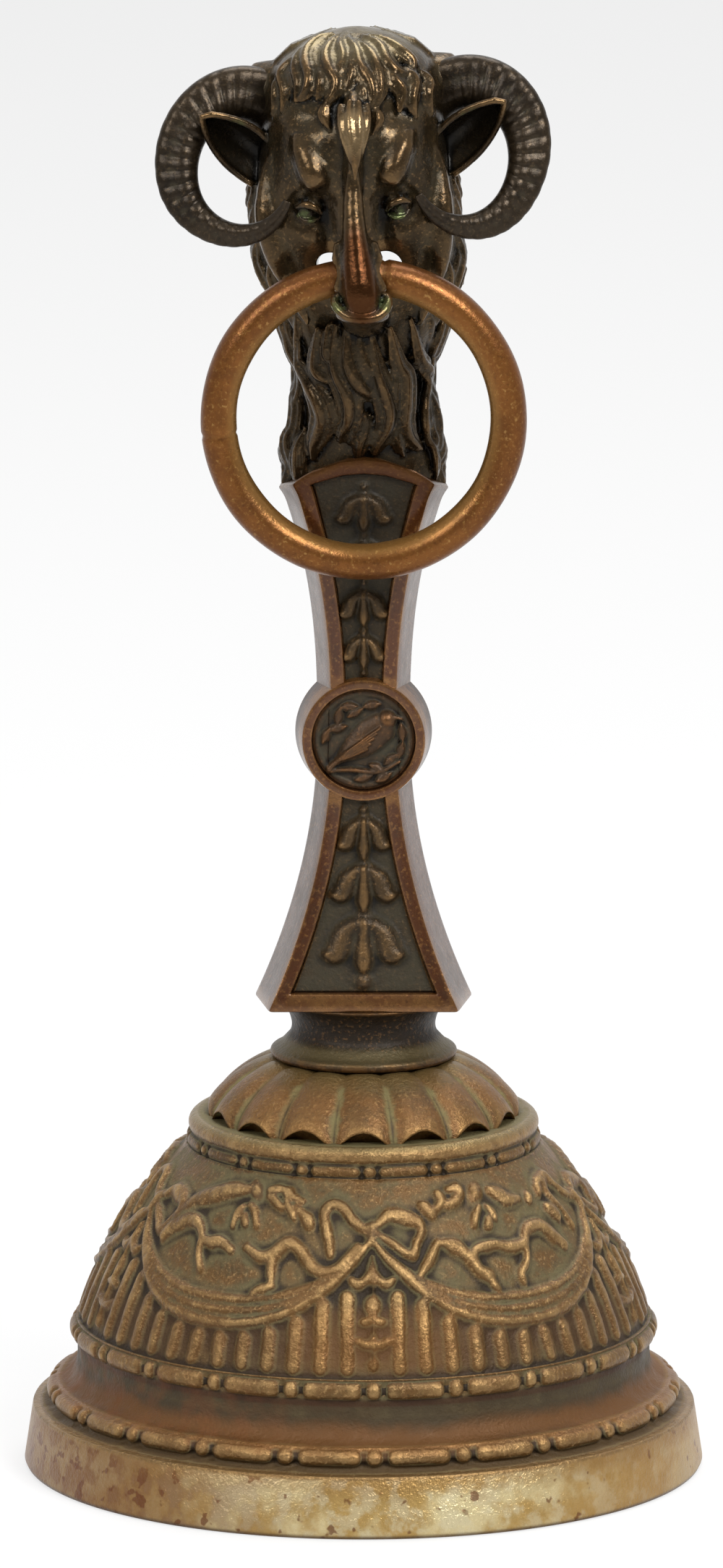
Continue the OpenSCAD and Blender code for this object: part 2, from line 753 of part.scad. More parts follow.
// Eye bolt: clamps cap, spool and cup to the shaft, and carries the clapper's staple
module eye_bolt() {
    leg_y = (staple_window_w + staple_wire) / 2;
    color(steel) {
        translate([0, 0, collar_z]) cylinder(d = bolt_d, h = shaft_z + bolt_grip - collar_z);
        translate([0, 0, collar_z]) cylinder(r = leg_y + staple_wire / 2 + collar_lip, h = collar_t);
        cross_bar(staple_wire / 2, -leg_y, leg_y, 0, bar_z);
        for (y = [-leg_y, leg_y]) translate([0, y, bar_z]) {
            cylinder(d = staple_wire, h = collar_z + collar_t / 2 - bar_z);
            sphere(d = 1.1 * staple_wire);
        }
    }
}

// Washer and nut inside the crown
module crown_washer() {
    color(brass) translate([0, 0, washer_z]) difference() {
        cylinder(d = washer_d, h = washer_t);
        translate([0, 0, -over]) cylinder(r = bolt_hole_r, h = washer_t + 2 * over);
    }
}

module crown_nut() {
    color(brass) translate([0, 0, nut_z]) difference() {
        cylinder(d = nut_w / cos(30), h = nut_h, $fn = 6);
        translate([0, 0, -over]) cylinder(d = bolt_d, h = nut_h + 2 * over);
    }
}

// Clapper: a wire rod with an eye, and a ball held on the rod's peened end
module clapper_rod() {
    color(steel) {
        translate([0, 0, eye_z]) rotate([90, 0, 0])
            rotate_extrude() translate([eye_r, 0]) circle(d = eye_wire);
        translate([0, 0, ball_lift]) cylinder(d = rod_d, h = eye_z - eye_r - ball_lift);
    }
}

module clapper_ball() {
    color(brass) difference() {
        translate([0, 0, ball_z]) sphere(d = ball_d);
        translate([0, 0, ball_lift - over]) cylinder(d = rod_d, h = ball_d + 2 * over);
    }
}

bell_cup();
crown_cap();
neck_spool();
handle_shaft();
front_medallion();
rear_medallion();
front_upper_plaque();
front_lower_plaque();
rear_upper_plaque();
rear_lower_plaque();
ram_head();
left_horn();
right_horn();
horn_pins();
head_stud();
nose_ring();
eye_bolt();
crown_washer();
crown_nut();
clapper_rod();
clapper_ball();
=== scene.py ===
import math

import bpy
import numpy as np
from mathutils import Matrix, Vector


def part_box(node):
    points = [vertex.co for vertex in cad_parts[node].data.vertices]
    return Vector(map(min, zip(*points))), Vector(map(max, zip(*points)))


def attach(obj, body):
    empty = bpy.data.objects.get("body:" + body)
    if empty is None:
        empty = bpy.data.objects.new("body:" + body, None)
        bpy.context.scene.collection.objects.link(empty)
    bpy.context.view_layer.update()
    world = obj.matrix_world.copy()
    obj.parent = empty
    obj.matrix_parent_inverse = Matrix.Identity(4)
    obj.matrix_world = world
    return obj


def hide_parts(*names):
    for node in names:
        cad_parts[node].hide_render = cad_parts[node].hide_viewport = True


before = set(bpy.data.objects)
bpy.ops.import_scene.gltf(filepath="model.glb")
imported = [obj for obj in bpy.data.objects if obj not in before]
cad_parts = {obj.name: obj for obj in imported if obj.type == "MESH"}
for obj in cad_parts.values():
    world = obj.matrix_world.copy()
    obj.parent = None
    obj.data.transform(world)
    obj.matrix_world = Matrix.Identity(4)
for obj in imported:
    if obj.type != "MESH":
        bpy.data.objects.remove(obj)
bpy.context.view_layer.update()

# Bell cup: the sounding bell, cast in bronze with turned mouldings and a chased frieze of five swags.
# A grid is wrapped round the bell's profile, and the ornament is raised from it stroke by stroke.

MM = 0.001


def mix(a, b, t):
    return a + (b - a) * t


def node_box(node):
    """Lowest and highest corner of a solid, in mm."""
    return [np.array(corner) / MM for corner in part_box(node)]


def points_of(piece):
    """The places of a piece's points in metres, one row each."""
    flat = np.empty(3 * len(piece.data.vertices))
    piece.data.vertices.foreach_get("co", flat)
    return flat.reshape(-1, 3)


def wrapped_grid(name, across, along, place):
    """A grid of so many cells each way, moved into shape: place gives each point's x, y and z in mm."""
    bpy.ops.object.select_all(action="DESELECT")
    bpy.ops.mesh.primitive_grid_add(x_subdivisions=across, y_subdivisions=along, size=2)
    piece = bpy.context.object
    piece.name = piece.data.name = name
    flat = points_of(piece)
    column = np.rint((flat[:, 0] + 1) / 2 * across).astype(int)
    row = np.rint((flat[:, 1] + 1) / 2 * along).astype(int)
    points = np.column_stack(place(column, row)) * MM
    piece.data.vertices.foreach_set("co", points.ravel())
    bpy.ops.object.mode_set(mode="EDIT")
    bpy.ops.mesh.select_all(action="SELECT")
    bpy.ops.mesh.remove_doubles(threshold=1e-7)
    bpy.ops.mesh.normals_make_consistent(inside=False)
    bpy.ops.object.mode_set(mode="OBJECT")
    bpy.ops.object.shade_smooth()
    return piece


def arc(centre, radius, start, end, steps):
    """Points along an arc in the plane of a profile, with angles in degrees."""
    turn = np.radians(np.linspace(start, end, steps))
    return [(centre[0] + radius * math.cos(a), centre[1] + radius * math.sin(a)) for a in turn]


def smooth_line(points, steps=5):
    """A curve through the points (Catmull-Rom), with so many steps between each two."""
    p = np.array(points, float)
    p = np.vstack([2 * p[0] - p[1], p, 2 * p[-1] - p[-2]])
    t = np.linspace(0, 1, steps, endpoint=False)[:, None]
    spans = []
    for a, b, c, d in zip(p, p[1:], p[2:], p[3:]):
        bend = a - 2.5 * b + 2 * c - d / 2
        twist = 1.5 * (b - c) + (d - a) / 2
        spans.append(b + t * (c - a) / 2 + t ** 2 * bend + t ** 3 * twist)
    return np.vstack(spans + [p[-2:-1]])


def emboss(x, y, strokes):
    """Height of rounded strokes over flat ground: a stroke is a line of (x, y, half width) and its rise."""
    height = np.zeros_like(x)
    for line, rise in strokes:
        for (x0, y0, w0), (x1, y1, w1) in zip(line, line[1:]):
            dx, dy = x1 - x0, y1 - y0
            t = np.clip(((x - x0) * dx + (y - y0) * dy) / max(dx * dx + dy * dy, 1e-9), 0, 1)
            off = np.hypot(x - x0 - t * dx, y - y0 - t * dy) / (w0 + t * (w1 - w0))
            height = np.maximum(height, rise * np.clip(1 - off ** 2, 0, 1) ** 0.7)
    return height


def dot(x, y, radius):
    """The line of a round boss: a stroke with next to no length."""
    return [(x, y, radius), (x + 0.001, y, radius)]


rim_r = node_box("bell_cup")[1][0]
rim_band_h = 5.9
band_top_r = rim_r - 0.8
lip_t = 3.6
base_bead = (band_top_r - 2.2, rim_band_h + 1.3)
waist_r = 27.4
cavetto_z = rim_band_h + 2.3
cavetto_curve = 2.6
waist_bead = (waist_r - 0.25, 13.2)
frieze_z0 = 14.2
frieze_z1 = 31.2
frieze_curve = 41
frieze_point = (18.1, 30.4)
wall = 3
dome_r = 13.4
crown_z = 34.9
bolt_hole_r = 2.7

# Centre of the frieze wall's curve, from its foot and a point near its top
foot = np.array([waist_r, frieze_z0])
chord = np.array(frieze_point) - foot
rise = math.sqrt(frieze_curve ** 2 - chord @ chord / 4) / np.linalg.norm(chord)
frieze_centre = foot + chord / 2 + rise * np.array([-chord[1], chord[0]])


def frieze_r(z):
    """Radius of the frieze wall at a height."""
    return frieze_centre[0] + np.sqrt(frieze_curve ** 2 - (z - frieze_centre[1]) ** 2)


shoulder_r = frieze_r(frieze_z1)
shoulder_bead = (shoulder_r - 1.1, frieze_z1 + 0.6)
shoulder_ring = (shoulder_r - 1.55, frieze_z1 + 2.0)
seat_z = frieze_z1 + 2.9
swags = 5
cell = 360 / swags
cell_columns = 128
frieze_rows = 86
frieze_ground = -0.3
front_turn = 2
chased_depth = 0.86
chased_sway = 0.07
stave_top = 0.52
stave_foot_z, stave_head_z = 15.2, 21.5
stave_gap = 0.75
swag_low, swag_high = 18.0, 21.2
low_climb, high_climb = 8.4, 5.4


def from_knot(turn, z, half_w):
    """A point of a stroke, by its turn from a swag's knot in degrees."""
    return (math.radians(turn) * frieze_r(z), z, half_w)


def drawn(lines, rise):
    """Strokes of one rise, from lines of turn, height and half width."""
    return [(smooth_line([from_knot(*point) for point in line]), rise) for line in lines]


def swag_edges(turn):
    """Heights of a swag's lower and upper edge."""
    climb = 1 - turn / (cell / 2)
    return swag_low + low_climb * climb ** 2.3, swag_high + high_climb * climb ** 2.5


def swag_strokes():
    """Three folds of cloth hung from knot to knot."""
    turns = np.linspace(0, cell / 2, 19)
    for lane, share, rise in ((0.5, 0.56, 0.3), (0.2, 0.21, 0.78), (0.53, 0.17, 0.74), (0.85, 0.16, 0.62)):
        line = []
        for turn in turns:
            low, high = swag_edges(turn)
            line.append(from_knot(turn, mix(low, high, lane), max(0.3, share * (high - low))))
        yield line, rise


def stave_strokes():
    """Upright staves that fill the ground under the swag."""
    staves = 13
    for n in range(1, staves // 2 + 1):
        turn = n * cell / staves
        top = min(stave_head_z, swag_edges(turn)[0] - stave_gap)
        yield [from_knot(turn - 0.3, stave_foot_z, 0.64), from_knot(turn, top, 0.72)], 1.0


# Under each knot hangs a drop: a lily with curled arms, a lozenge, a second pair of arms and a bud
knot_drop = [
    [(0, 25.0, 0.25), (0, 24.1, 0.6), (0, 23.1, 0.5), (0, 22.0, 0.25)],
    [(0.2, 23.9, 0.4), (1.7, 23.0, 0.5), (3.5, 22.7, 0.5), (4.9, 23.1, 0.35)],
    [(0, 21.9, 0.25), (0, 20.9, 0.9), (0, 19.9, 0.6), (0, 18.7, 0.3)],
    [(0, 20.0, 0.35), (1.6, 19.4, 0.45), (2.3, 19.5, 0.3)],
    [(0, 18.4, 0.4), (0, 16.8, 0.45)],
    [(0, 17.6, 0.5), (1.5, 17.4, 0.55), (3.2, 17.8, 0.4)],
    [(0, 16.7, 0.3), (0, 15.8, 0.62), (0, 15.4, 0.35)]]
knot = [[(0, 26.5, 0.75), (0, 27.3, 0.85)]]

# The ribbon's ends: a box fold to the right of a knot, and a hook with a hanging tail to its left
right_ribbon = [
    [(1.3, 27.5, 0.5), (4.5, 28.4, 0.65), (6.9, 28.4, 0.78), (10.2, 28.1, 0.78), (12.7, 27.7, 0.6),
     (13.1, 27.0, 0.48), (11.3, 26.0, 0.45), (10.4, 25.2, 0.55)],
    [(1.6, 26.9, 0.45), (5.5, 26.0, 0.5), (8.3, 25.3, 0.52), (10.3, 25.0, 0.4)]]
left_ribbon = [
    [(-0.2, 26.9, 0.55), (-2.2, 27.4, 0.55), (-5.0, 28.1, 0.55), (-7.1, 28.9, 0.55), (-9.6, 29.3, 0.55),
     (-11.9, 29.1, 0.58), (-12.8, 28.4, 0.62), (-11.8, 27.3, 0.62), (-10.8, 26.3, 0.55), (-10.1, 25.1, 0.3)]]

# Left of a knot the vine runs in a wave with a hanging shoot,
# under a garland of leaves with a rosette and a bud
left_vine = [
    [(-3.4, 25.8, 0.5), (-5.4, 25.0, 0.55), (-8.0, 24.0, 0.62), (-10.5, 23.6, 0.66), (-13.1, 23.8, 0.66),
     (-15.4, 24.5, 0.66), (-17.4, 25.3, 0.66), (-19.9, 25.9, 0.66), (-21.7, 25.8, 0.7), (-23.4, 25.2, 0.75),
     (-25.0, 24.8, 0.7), (-27.4, 24.6, 0.6), (-29.8, 24.9, 0.5), (-32.2, 25.3, 0.35)],
    [(-23.4, 25.2, 0.75), (-24.3, 24.5, 0.65), (-24.2, 23.5, 0.52), (-23.6, 22.7, 0.45)],
    [(-23.0, 22.2, 0.35), (-25.3, 21.9, 0.55), (-27.6, 21.5, 0.3)],
    [(-59.8, 24.5, 0.4), (-57.8, 25.6, 0.75), (-54.1, 26.5, 0.8), (-50.8, 26.7, 0.8), (-48.0, 26.2, 0.7),
     (-45.5, 25.4, 0.6), (-42.8, 25.2, 0.65), (-39.6, 25.4, 0.6), (-36.3, 24.9, 0.4)],
    [(-45.8, 25.2, 0.5), (-44.9, 24.0, 0.45), (-43.2, 22.9, 0.35)]]
left_garland = [
    [(-31.3, 30.1, 0.3), (-27.8, 30.2, 0.48), (-23.5, 30.2, 0.25)],
    [(-30.6, 29.6, 0.3), (-27.3, 29.2, 0.5), (-24.8, 28.7, 0.25)],
    [(-25.8, 29.8, 0.3), (-22.8, 29.7, 0.48), (-19.4, 29.4, 0.22)],
    [(-24.7, 29.4, 0.3), (-22.7, 28.7, 0.5), (-20.9, 28.0, 0.25)],
    [(-21.2, 29.0, 0.3), (-18.9, 28.4, 0.5), (-17.0, 27.9, 0.75), (-16.7, 27.6, 0.55)],
    [(-38.2, 29.9, 0.5), (-43.0, 29.7, 0.75), (-47.4, 29.2, 0.8), (-51.8, 28.6, 0.8), (-55.4, 27.8, 0.75),
     (-57.5, 26.9, 0.6), (-58.5, 26.4, 0.35)],
    [(-35.9, 28.8, 0.25), (-33.3, 28.3, 0.46), (-31.4, 27.2, 0.28)],
    [(-37.2, 28.6, 0.25), (-38.2, 27.8, 0.46), (-38.2, 26.8, 0.28)],
    [(-35.6, 27.9, 0.35), (-35.1, 27.4, 0.6)]]
left_rosette = (-35.2, 29.9)

# Right of a knot it branches in a zigzag and climbs over to the next swag
right_vine = [
    [(11.3, 23.4, 0.4), (13.4, 24.3, 0.6), (15.6, 25.4, 0.55), (17.1, 26.1, 0.35)],
    [(18.5, 25.9, 0.45), (21.3, 25.5, 0.8), (23.2, 24.9, 0.7), (24.9, 24.2, 0.75), (25.9, 23.4, 0.6),
     (28.0, 22.8, 0.66), (28.7, 22.7, 0.45)],
    [(28.2, 22.4, 0.35), (28.9, 21.9, 0.45), (29.9, 21.5, 0.22)],
    [(25.1, 24.5, 0.75), (26.4, 25.1, 0.55), (30.2, 25.3, 0.56), (32.7, 25.3, 0.42), (35.4, 25.0, 0.5),
     (38.3, 24.9, 0.64), (41.0, 25.0, 0.64), (42.1, 25.5, 0.6), (44.0, 26.1, 0.64), (47.6, 26.2, 0.66),
     (50.1, 25.8, 0.68), (52.0, 24.9, 0.66), (54.5, 23.9, 0.45)],
    [(40.9, 24.6, 0.46), (39.9, 23.6, 0.42), (38.3, 23.0, 0.45), (37.0, 22.6, 0.45), (37.0, 21.7, 0.28)]]
right_garland = [
    [(37.2, 29.8, 0.3), (39.8, 29.3, 0.66), (42.3, 28.7, 0.66), (46.7, 28.6, 0.28)],
    [(50.4, 28.6, 0.5), (50.7, 28.3, 0.42)],
    [(55.2, 27.5, 0.3), (56.9, 26.9, 0.66), (57.6, 26.2, 0.42)],
    [(56.4, 28.7, 0.5), (57.6, 29.4, 0.55), (63.1, 29.7, 0.55), (64.5, 29.0, 0.45)],
    [(23.7, 30.2, 0.35), (26.8, 30.2, 0.52), (27.1, 29.7, 0.55), (24.2, 29.2, 0.55), (21.9, 29.0, 0.38)],
    [(20.2, 30.0, 0.4), (20.9, 29.4, 0.6), (18.7, 28.8, 0.42)],
    [(14.4, 29.2, 0.35), (15.8, 28.8, 0.64), (17.1, 28.3, 0.42)],
    [(32.0, 28.6, 0.25), (29.7, 27.9, 0.46), (28.5, 27.2, 0.28)],
    [(33.8, 28.5, 0.25), (35.2, 27.9, 0.42), (35.3, 27.3, 0.25)],
    [(33.0, 27.5, 0.4), (32.7, 27.1, 0.62)]]
right_rosette = (32.2, 29.7)


def rosette(turn, z):
    """A round flower with a raised middle."""
    x = from_knot(turn, z, 0)[0]
    return [(dot(x, z, 1.05), 0.5), (dot(x, z, 0.55), 0.85)]


def soften(height):
    """A light blur, which takes the steps out of a raised edge."""
    for axis in (0, 1):
        padded = np.pad(height, [(1, 1) if i == axis else (0, 0) for i in (0, 1)], mode="edge")
        count = height.shape[axis]
        before, after = np.take(padded, range(count), axis), np.take(padded, range(2, count + 2), axis)
        height = (before + 2 * height + after) / 4
    return height


def frieze_relief(heights, vine, garland, middle, past_knot):
    """Height of the ornament over one cell. Its vine and garland count from the knot before or after it."""
    turn, z = np.meshgrid(np.arange(cell_columns) / cell_columns * cell, heights, indexing="ij")
    radius = frieze_r(z)
    nearest = np.radians(np.minimum(turn, cell - turn)) * radius
    before, after = np.radians(turn) * radius, np.radians(turn - cell) * radius
    raised = emboss(nearest, z, [*swag_strokes(), *drawn(knot_drop, 0.7), *drawn(knot, 0.85)])
    raised = np.maximum(raised, np.minimum(emboss(nearest, z, list(stave_strokes())), stave_top))
    raised = np.maximum(raised, emboss(before, z, drawn(right_ribbon, 0.66)))
    raised = np.maximum(raised, emboss(after, z, drawn(left_ribbon, 0.66)))
    growth = drawn(vine, 0.78) + drawn(garland, 0.72) + rosette(*middle)
    return soften(np.maximum(raised, emboss(before if past_knot else after, z, growth)))


def bead_and_reel(turn, repeats):
    """1 on the long reels and the bead between each two, and less in the gaps."""
    reel_half, bead_half = 0.358, 0.092
    t = np.abs((turn * repeats / 360) % 1 - 0.5)
    reel = np.clip(1 - (t / reel_half) ** 8, 0, 1) ** 0.5
    bead = np.clip(1 - ((t - 0.5) / bead_half) ** 2, 0, 1) ** 0.5
    return np.maximum(reel, 0.94 * bead)


# The bell's profile, from the foot of the rim up the outside, over the crown and down the inside
profile = []


def add_rows(points, ornament=""):
    """Adds points of radius and height to the profile, with the ornament that they carry."""
    profile.extend((r, z, ornament) for r, z in points)


frieze_heights = np.linspace(frieze_z0 + 0.25, frieze_z1, frieze_rows)
add_rows([(rim_r - lip_t / 2, 0), (rim_r - 0.5, 0), (rim_r - 0.15, 0.12), (rim_r, 0.45)])
add_rows([(mix(rim_r, band_top_r, t), mix(0.45, rim_band_h - 0.2, t)) for t in (0.3, 0.65, 1)])
add_rows([(band_top_r - 0.08, rim_band_h - 0.03), (band_top_r - 0.3, rim_band_h),
          (band_top_r - 0.7, rim_band_h + 0.02)])
add_rows([(base_bead[0] + 0.35, base_bead[1] - 0.95)])
add_rows(arc(base_bead, 0.85, -62, 75, 12), "base")
add_rows([(base_bead[0] - 0.05, cavetto_z - 0.1), (base_bead[0] - 0.12, cavetto_z)])
add_rows([(mix(base_bead[0] - 0.3, waist_r, math.sin(a)), cavetto_z + cavetto_curve * (1 - math.cos(a)))
          for a in np.radians(np.linspace(8, 90, 9))])
add_rows([(waist_r, 11.6), (waist_r + 0.1, 12.2), (waist_r + 0.12, 12.35)])
add_rows(arc(waist_bead, 1, -52, 52, 12), "waist")
add_rows([(waist_r + 0.05, frieze_z0 - 0.1), (waist_r + 0.12, frieze_z0), (waist_r + 0.12, frieze_z0 + 0.12)])
add_rows([(frieze_r(z), z) for z in frieze_heights], "frieze")
add_rows([(shoulder_r - 0.35, frieze_z1 + 0.06)])
add_rows(arc(shoulder_bead, 0.72, -40, 60, 9), "shoulder")
add_rows(arc(shoulder_ring, 0.95, -40, 90, 9))
add_rows([(dome_r + 0.6, seat_z + 0.06), (dome_r, seat_z), (dome_r * 0.7, seat_z + 1.6),
          (bolt_hole_r, seat_z + 3)])
add_rows([(bolt_hole_r, crown_z), (6.2, crown_z)])
inner_share = (frieze_curve - wall) / frieze_curve
inner_curve = [frieze_centre + inner_share * (np.array([frieze_r(z), z]) - frieze_centre)
               for z in np.linspace(frieze_point[1], frieze_z0, 8)]
add_rows(inner_curve)
add_rows([(waist_r - wall, 10), (band_top_r - lip_t, rim_band_h), (rim_r - lip_t, 0.3),
          (rim_r - lip_t + 0.3, 0)])
profile.append(profile[0])

cup_columns = swags * cell_columns
outline = np.array([p[:2] for p in profile])
ornament = np.array([p[2] for p in profile])
run = np.gradient(outline, axis=0)
run_l = np.maximum(np.linalg.norm(run, axis=1), 1e-9)
outward = np.column_stack([run[:, 1], -run[:, 0]]) / run_l[:, None]
relief_cells = np.array([frieze_relief(frieze_heights, right_vine, right_garland, right_rosette, True),
                         frieze_relief(frieze_heights, left_vine, left_garland, left_rosette, False)])
cell_kinds = np.array([0, 1, 0, 1, 1])
first_frieze_row = int(np.argmax(ornament == "frieze"))


def place_cup(column, row):
    """The cup's wall with its beads and its frieze, whose depth varies as a chaser's hand leaves it."""
    turn = column * 360 / cup_columns
    raised = np.zeros(len(row))
    for name, repeats, depth in (("base", 22, 0.5), ("waist", 22, 0.5), ("shoulder", 16, 0.42)):
        raised += np.where(ornament[row] == name, depth * (bead_and_reel(turn, repeats) - 1), 0)
    in_frieze = ornament[row] == "frieze"
    frieze_row = np.clip(row - first_frieze_row, 0, frieze_rows - 1)
    kind = cell_kinds[column // cell_columns % swags]
    sway = chased_sway * np.sin(0.9 * turn + 1.7 * np.sin(0.2 * row))
    by_hand = chased_depth + sway * np.sin(0.23 * row + 0.55 * turn)
    chased = relief_cells[kind, column % cell_columns, frieze_row] * by_hand + frieze_ground
    raised += np.where(in_frieze, chased, 0)
    r = outline[row, 0] + outward[row, 0] * raised
    z = outline[row, 1] + outward[row, 1] * raised
    a = np.radians(turn + front_turn - 90)
    return r * np.cos(a), r * np.sin(a), z


def store_mark(piece, name, values):
    """Keeps one number per point for the finish to read."""
    marks = piece.data.attributes.new(name, "FLOAT", "POINT").data
    marks.foreach_set("value", values.astype(np.float32))


def mark_relief(piece, rounds, span):
    """Stores how far each point stands out of its surroundings (1 at span mm), for wear and dust, and for the
    painted highlights on high places and the painted shade in hollows.
    """
    mesh = piece.data
    points = points_of(piece)
    ends = np.empty(2 * len(mesh.edges), np.int32)
    mesh.edges.foreach_get("vertices", ends)
    one, other = ends.reshape(-1, 2).T
    count = np.bincount(one, minlength=len(points)) + np.bincount(other, minlength=len(points))
    level = points.copy()
    for _ in range(rounds):
        total = [np.bincount(one, side[other], len(points)) + np.bincount(other, side[one], len(points))
                 for side in level.T]
        level = np.column_stack(total) / np.maximum(count, 1)[:, None]
    normals = np.empty(3 * len(points))
    mesh.vertex_normals.foreach_get("vector", normals)
    out = np.einsum("ij,ij->i", points - level, normals.reshape(-1, 3)) / (span * MM)
    store_mark(piece, "relief", out)


def add_node(tree, kind, inputs=(), **settings):
    """A shader node with its settings, its plain input values and its links."""
    made = tree.nodes.new(kind)
    for name, value in settings.items():
        setattr(made, name, value)
    for name, value in dict(inputs).items():
        if isinstance(value, bpy.types.NodeSocket):
            tree.links.new(value, made.inputs[name])
        else:
            made.inputs[name].default_value = value
    return made


def tree_of(*values):
    """The node tree of the first socket among the values."""
    return next(value.id_data for value in values if isinstance(value, bpy.types.NodeSocket))


def maths(operation, a, b=0.0, clamp=False):
    made = add_node(tree_of(a, b), "ShaderNodeMath", {0: a, 1: b}, operation=operation, use_clamp=clamp)
    return made.outputs[0]


def times(a, b, clamp=False):
    return maths("MULTIPLY", a, b, clamp)


def plus(a, b, clamp=False):
    return maths("ADD", a, b, clamp)


def less(a, b):
    return maths("SUBTRACT", a, b)


def noise(coords, scale, detail=4.0, roughness=0.6):
    settings = {"Vector": coords, "Scale": scale, "Detail": detail, "Roughness": roughness}
    return add_node(tree_of(coords), "ShaderNodeTexNoise", settings).outputs["Fac"]


def ramp(value, low, high):
    """0 at low, 1 at high, with a smooth step between."""
    limits = {"Value": value, "From Min": low, "From Max": high}
    made = add_node(tree_of(value), "ShaderNodeMapRange", limits, interpolation_type="SMOOTHSTEP")
    return made.outputs["Result"]


def blend(share, a, b):
    """Colour a turning into colour b."""
    made = add_node(tree_of(share), "ShaderNodeMix", {0: share, 6: a, 7: b}, data_type="RGBA")
    return made.outputs[2]


def mask_of(tree, name):
    """A number that was stored on the piece's points."""
    return add_node(tree, "ShaderNodeAttribute", attribute_name=name).outputs["Fac"]


def object_place(tree):
    """A point's coordinates on its object in metres, and its x, y and z apart in mm."""
    coords = tree.nodes.new("ShaderNodeTexCoord").outputs["Object"]
    in_mm = add_node(tree, "ShaderNodeVectorMath", {0: coords, "Scale": 1 / MM}, operation="SCALE").outputs[0]
    return coords, add_node(tree, "ShaderNodeSeparateXYZ", {"Vector": in_mm}).outputs


def colour(red, green, blue):
    """A colour as a paint chart gives it, 0 to 255, made linear for the shader."""
    shares = [c / 255 for c in (red, green, blue)]
    return (*[((c + 0.055) / 1.055) ** 2.4 if c > 0.0404 else c / 12.92 for c in shares], 1)


def make_patina():
    """Aged bronze: a brown skin, olive dust on the low ground, dark hollows that are partly patina and partly
    painted shade, and rubbed high places that also carry painted highlights.
    """
    group = bpy.data.node_groups.new("aged_bronze", "ShaderNodeTree")
    for name in ("Body", "Deep", "Worn_and_highlight", "Dust"):
        group.interface.new_socket(name, in_out="INPUT", socket_type="NodeSocketColor")
    for name in ("Wear_and_highlight", "Dusting", "Roughness", "Metal"):
        group.interface.new_socket(name, in_out="INPUT", socket_type="NodeSocketFloat")
    group.interface.new_socket("Color", in_out="OUTPUT", socket_type="NodeSocketColor")
    for name in ("Roughness", "Metallic", "Height"):
        group.interface.new_socket(name, in_out="OUTPUT", socket_type="NodeSocketFloat")
    given = group.nodes.new("NodeGroupInput").outputs
    coords = group.nodes.new("ShaderNodeTexCoord").outputs["Object"]
    relief = mask_of(group, "relief")
    clouds = noise(coords, 120, 3)
    mottle = noise(coords, 620, 5, 0.65)
    grain = noise(coords, 2900, 3)

    uneven = less(mottle, 0.5)
    ragged = plus(relief, times(uneven, 0.5))
    patchy = plus(times(ramp(plus(clouds, times(mottle, 0.6)), 0.6, 0.95), 0.6), 0.4)
    low = plus(times(relief, -1.0), times(uneven, 0.7))
    dusty = times(times(ramp(low, -0.2, 0.3), patchy), given["Dusting"], True)
    # Dark in the hollows: partly the patina, partly painted shade
    deep = ramp(times(ragged, -1.0), 0.25, 0.8)
    rubbed = plus(times(ramp(mottle, 0.4, 0.6), 0.6), 0.4)
    # Lighter on the high places: partly wear, partly a painted highlight
    worn_and_highlight = times(times(ramp(ragged, 0.2, 0.9), rubbed), given["Wear_and_highlight"], True)
    shade = times(ramp(plus(times(clouds, 0.5), times(mottle, 0.5)), 0.42, 0.62), 0.6)
    skin = blend(shade, given["Body"], given["Deep"])
    skin = blend(times(ramp(grain, 0.54, 0.68), 0.45), skin, given["Worn_and_highlight"])
    skin = blend(dusty, skin, given["Dust"])
    skin = blend(deep, skin, given["Deep"])
    skin = blend(worn_and_highlight, skin, given["Worn_and_highlight"])
    skin = blend(times(ramp(grain, 0.42, 0.26), 0.45), skin, given["Deep"])
    rough = plus(given["Roughness"], times(uneven, 0.25))
    rough = plus(rough, plus(times(worn_and_highlight, -0.12), times(dusty, 0.3)), True)
    metal = times(given["Metal"], less(1.0, times(dusty, 0.85)))
    metal = plus(metal, times(worn_and_highlight, less(0.85, metal)), True)
    height = plus(times(mottle, 0.55), times(grain, 0.45))
    leave = group.nodes.new("NodeGroupOutput").inputs
    for name, value in (("Color", skin), ("Roughness", rough), ("Metallic", metal), ("Height", height)):
        group.links.new(value, leave[name])
    return group


patina = make_patina()


def bronze(name, body, deep, worn_and_highlight, dust, wear_and_highlight, dusting, roughness, bump=0.25, metal=0.45):
    """A bronze finish. Returns the material, its tree, its shader and its patina."""
    material = bpy.data.materials.new(name)
    material.use_nodes = True
    tree = material.node_tree
    shader = tree.nodes["Principled BSDF"]
    shader.inputs["Specular IOR Level"].default_value = 0.3
    aged = add_node(tree, "ShaderNodeGroup", node_tree=patina)
    for socket, shade in (("Body", body), ("Deep", deep), ("Worn_and_highlight", worn_and_highlight), ("Dust", dust)):
        aged.inputs[socket].default_value = colour(*shade)
    for socket, value in (("Wear_and_highlight", wear_and_highlight), ("Dusting", dusting), ("Roughness", roughness), ("Metal", metal)):
        aged.inputs[socket].default_value = value
    for socket, output in (("Base Color", "Color"), ("Roughness", "Roughness"), ("Metallic", "Metallic")):
        tree.links.new(aged.outputs[output], shader.inputs[socket])
    grain = {"Height": aged.outputs["Height"], "Strength": bump, "Distance": 0.3 * MM}
    tree.links.new(add_node(tree, "ShaderNodeBump", grain).outputs["Normal"], shader.inputs["Normal"])
    return material, tree, shader, aged


def coat(piece, material):
    """Gives a piece one finish and no other."""
    piece.data.materials.clear()
    piece.data.materials.append(material)


def finish_piece(piece, body, slot, material, *nodes):
    """Gives a piece its finish and hangs it on the frame in place of its solids."""
    coat(piece, material)
    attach(piece, body)
    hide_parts(*nodes)


bell_wall = wrapped_grid("bell_wall", cup_columns, len(profile) - 1, place_cup)
mark_relief(bell_wall, rounds=14, span=0.22)

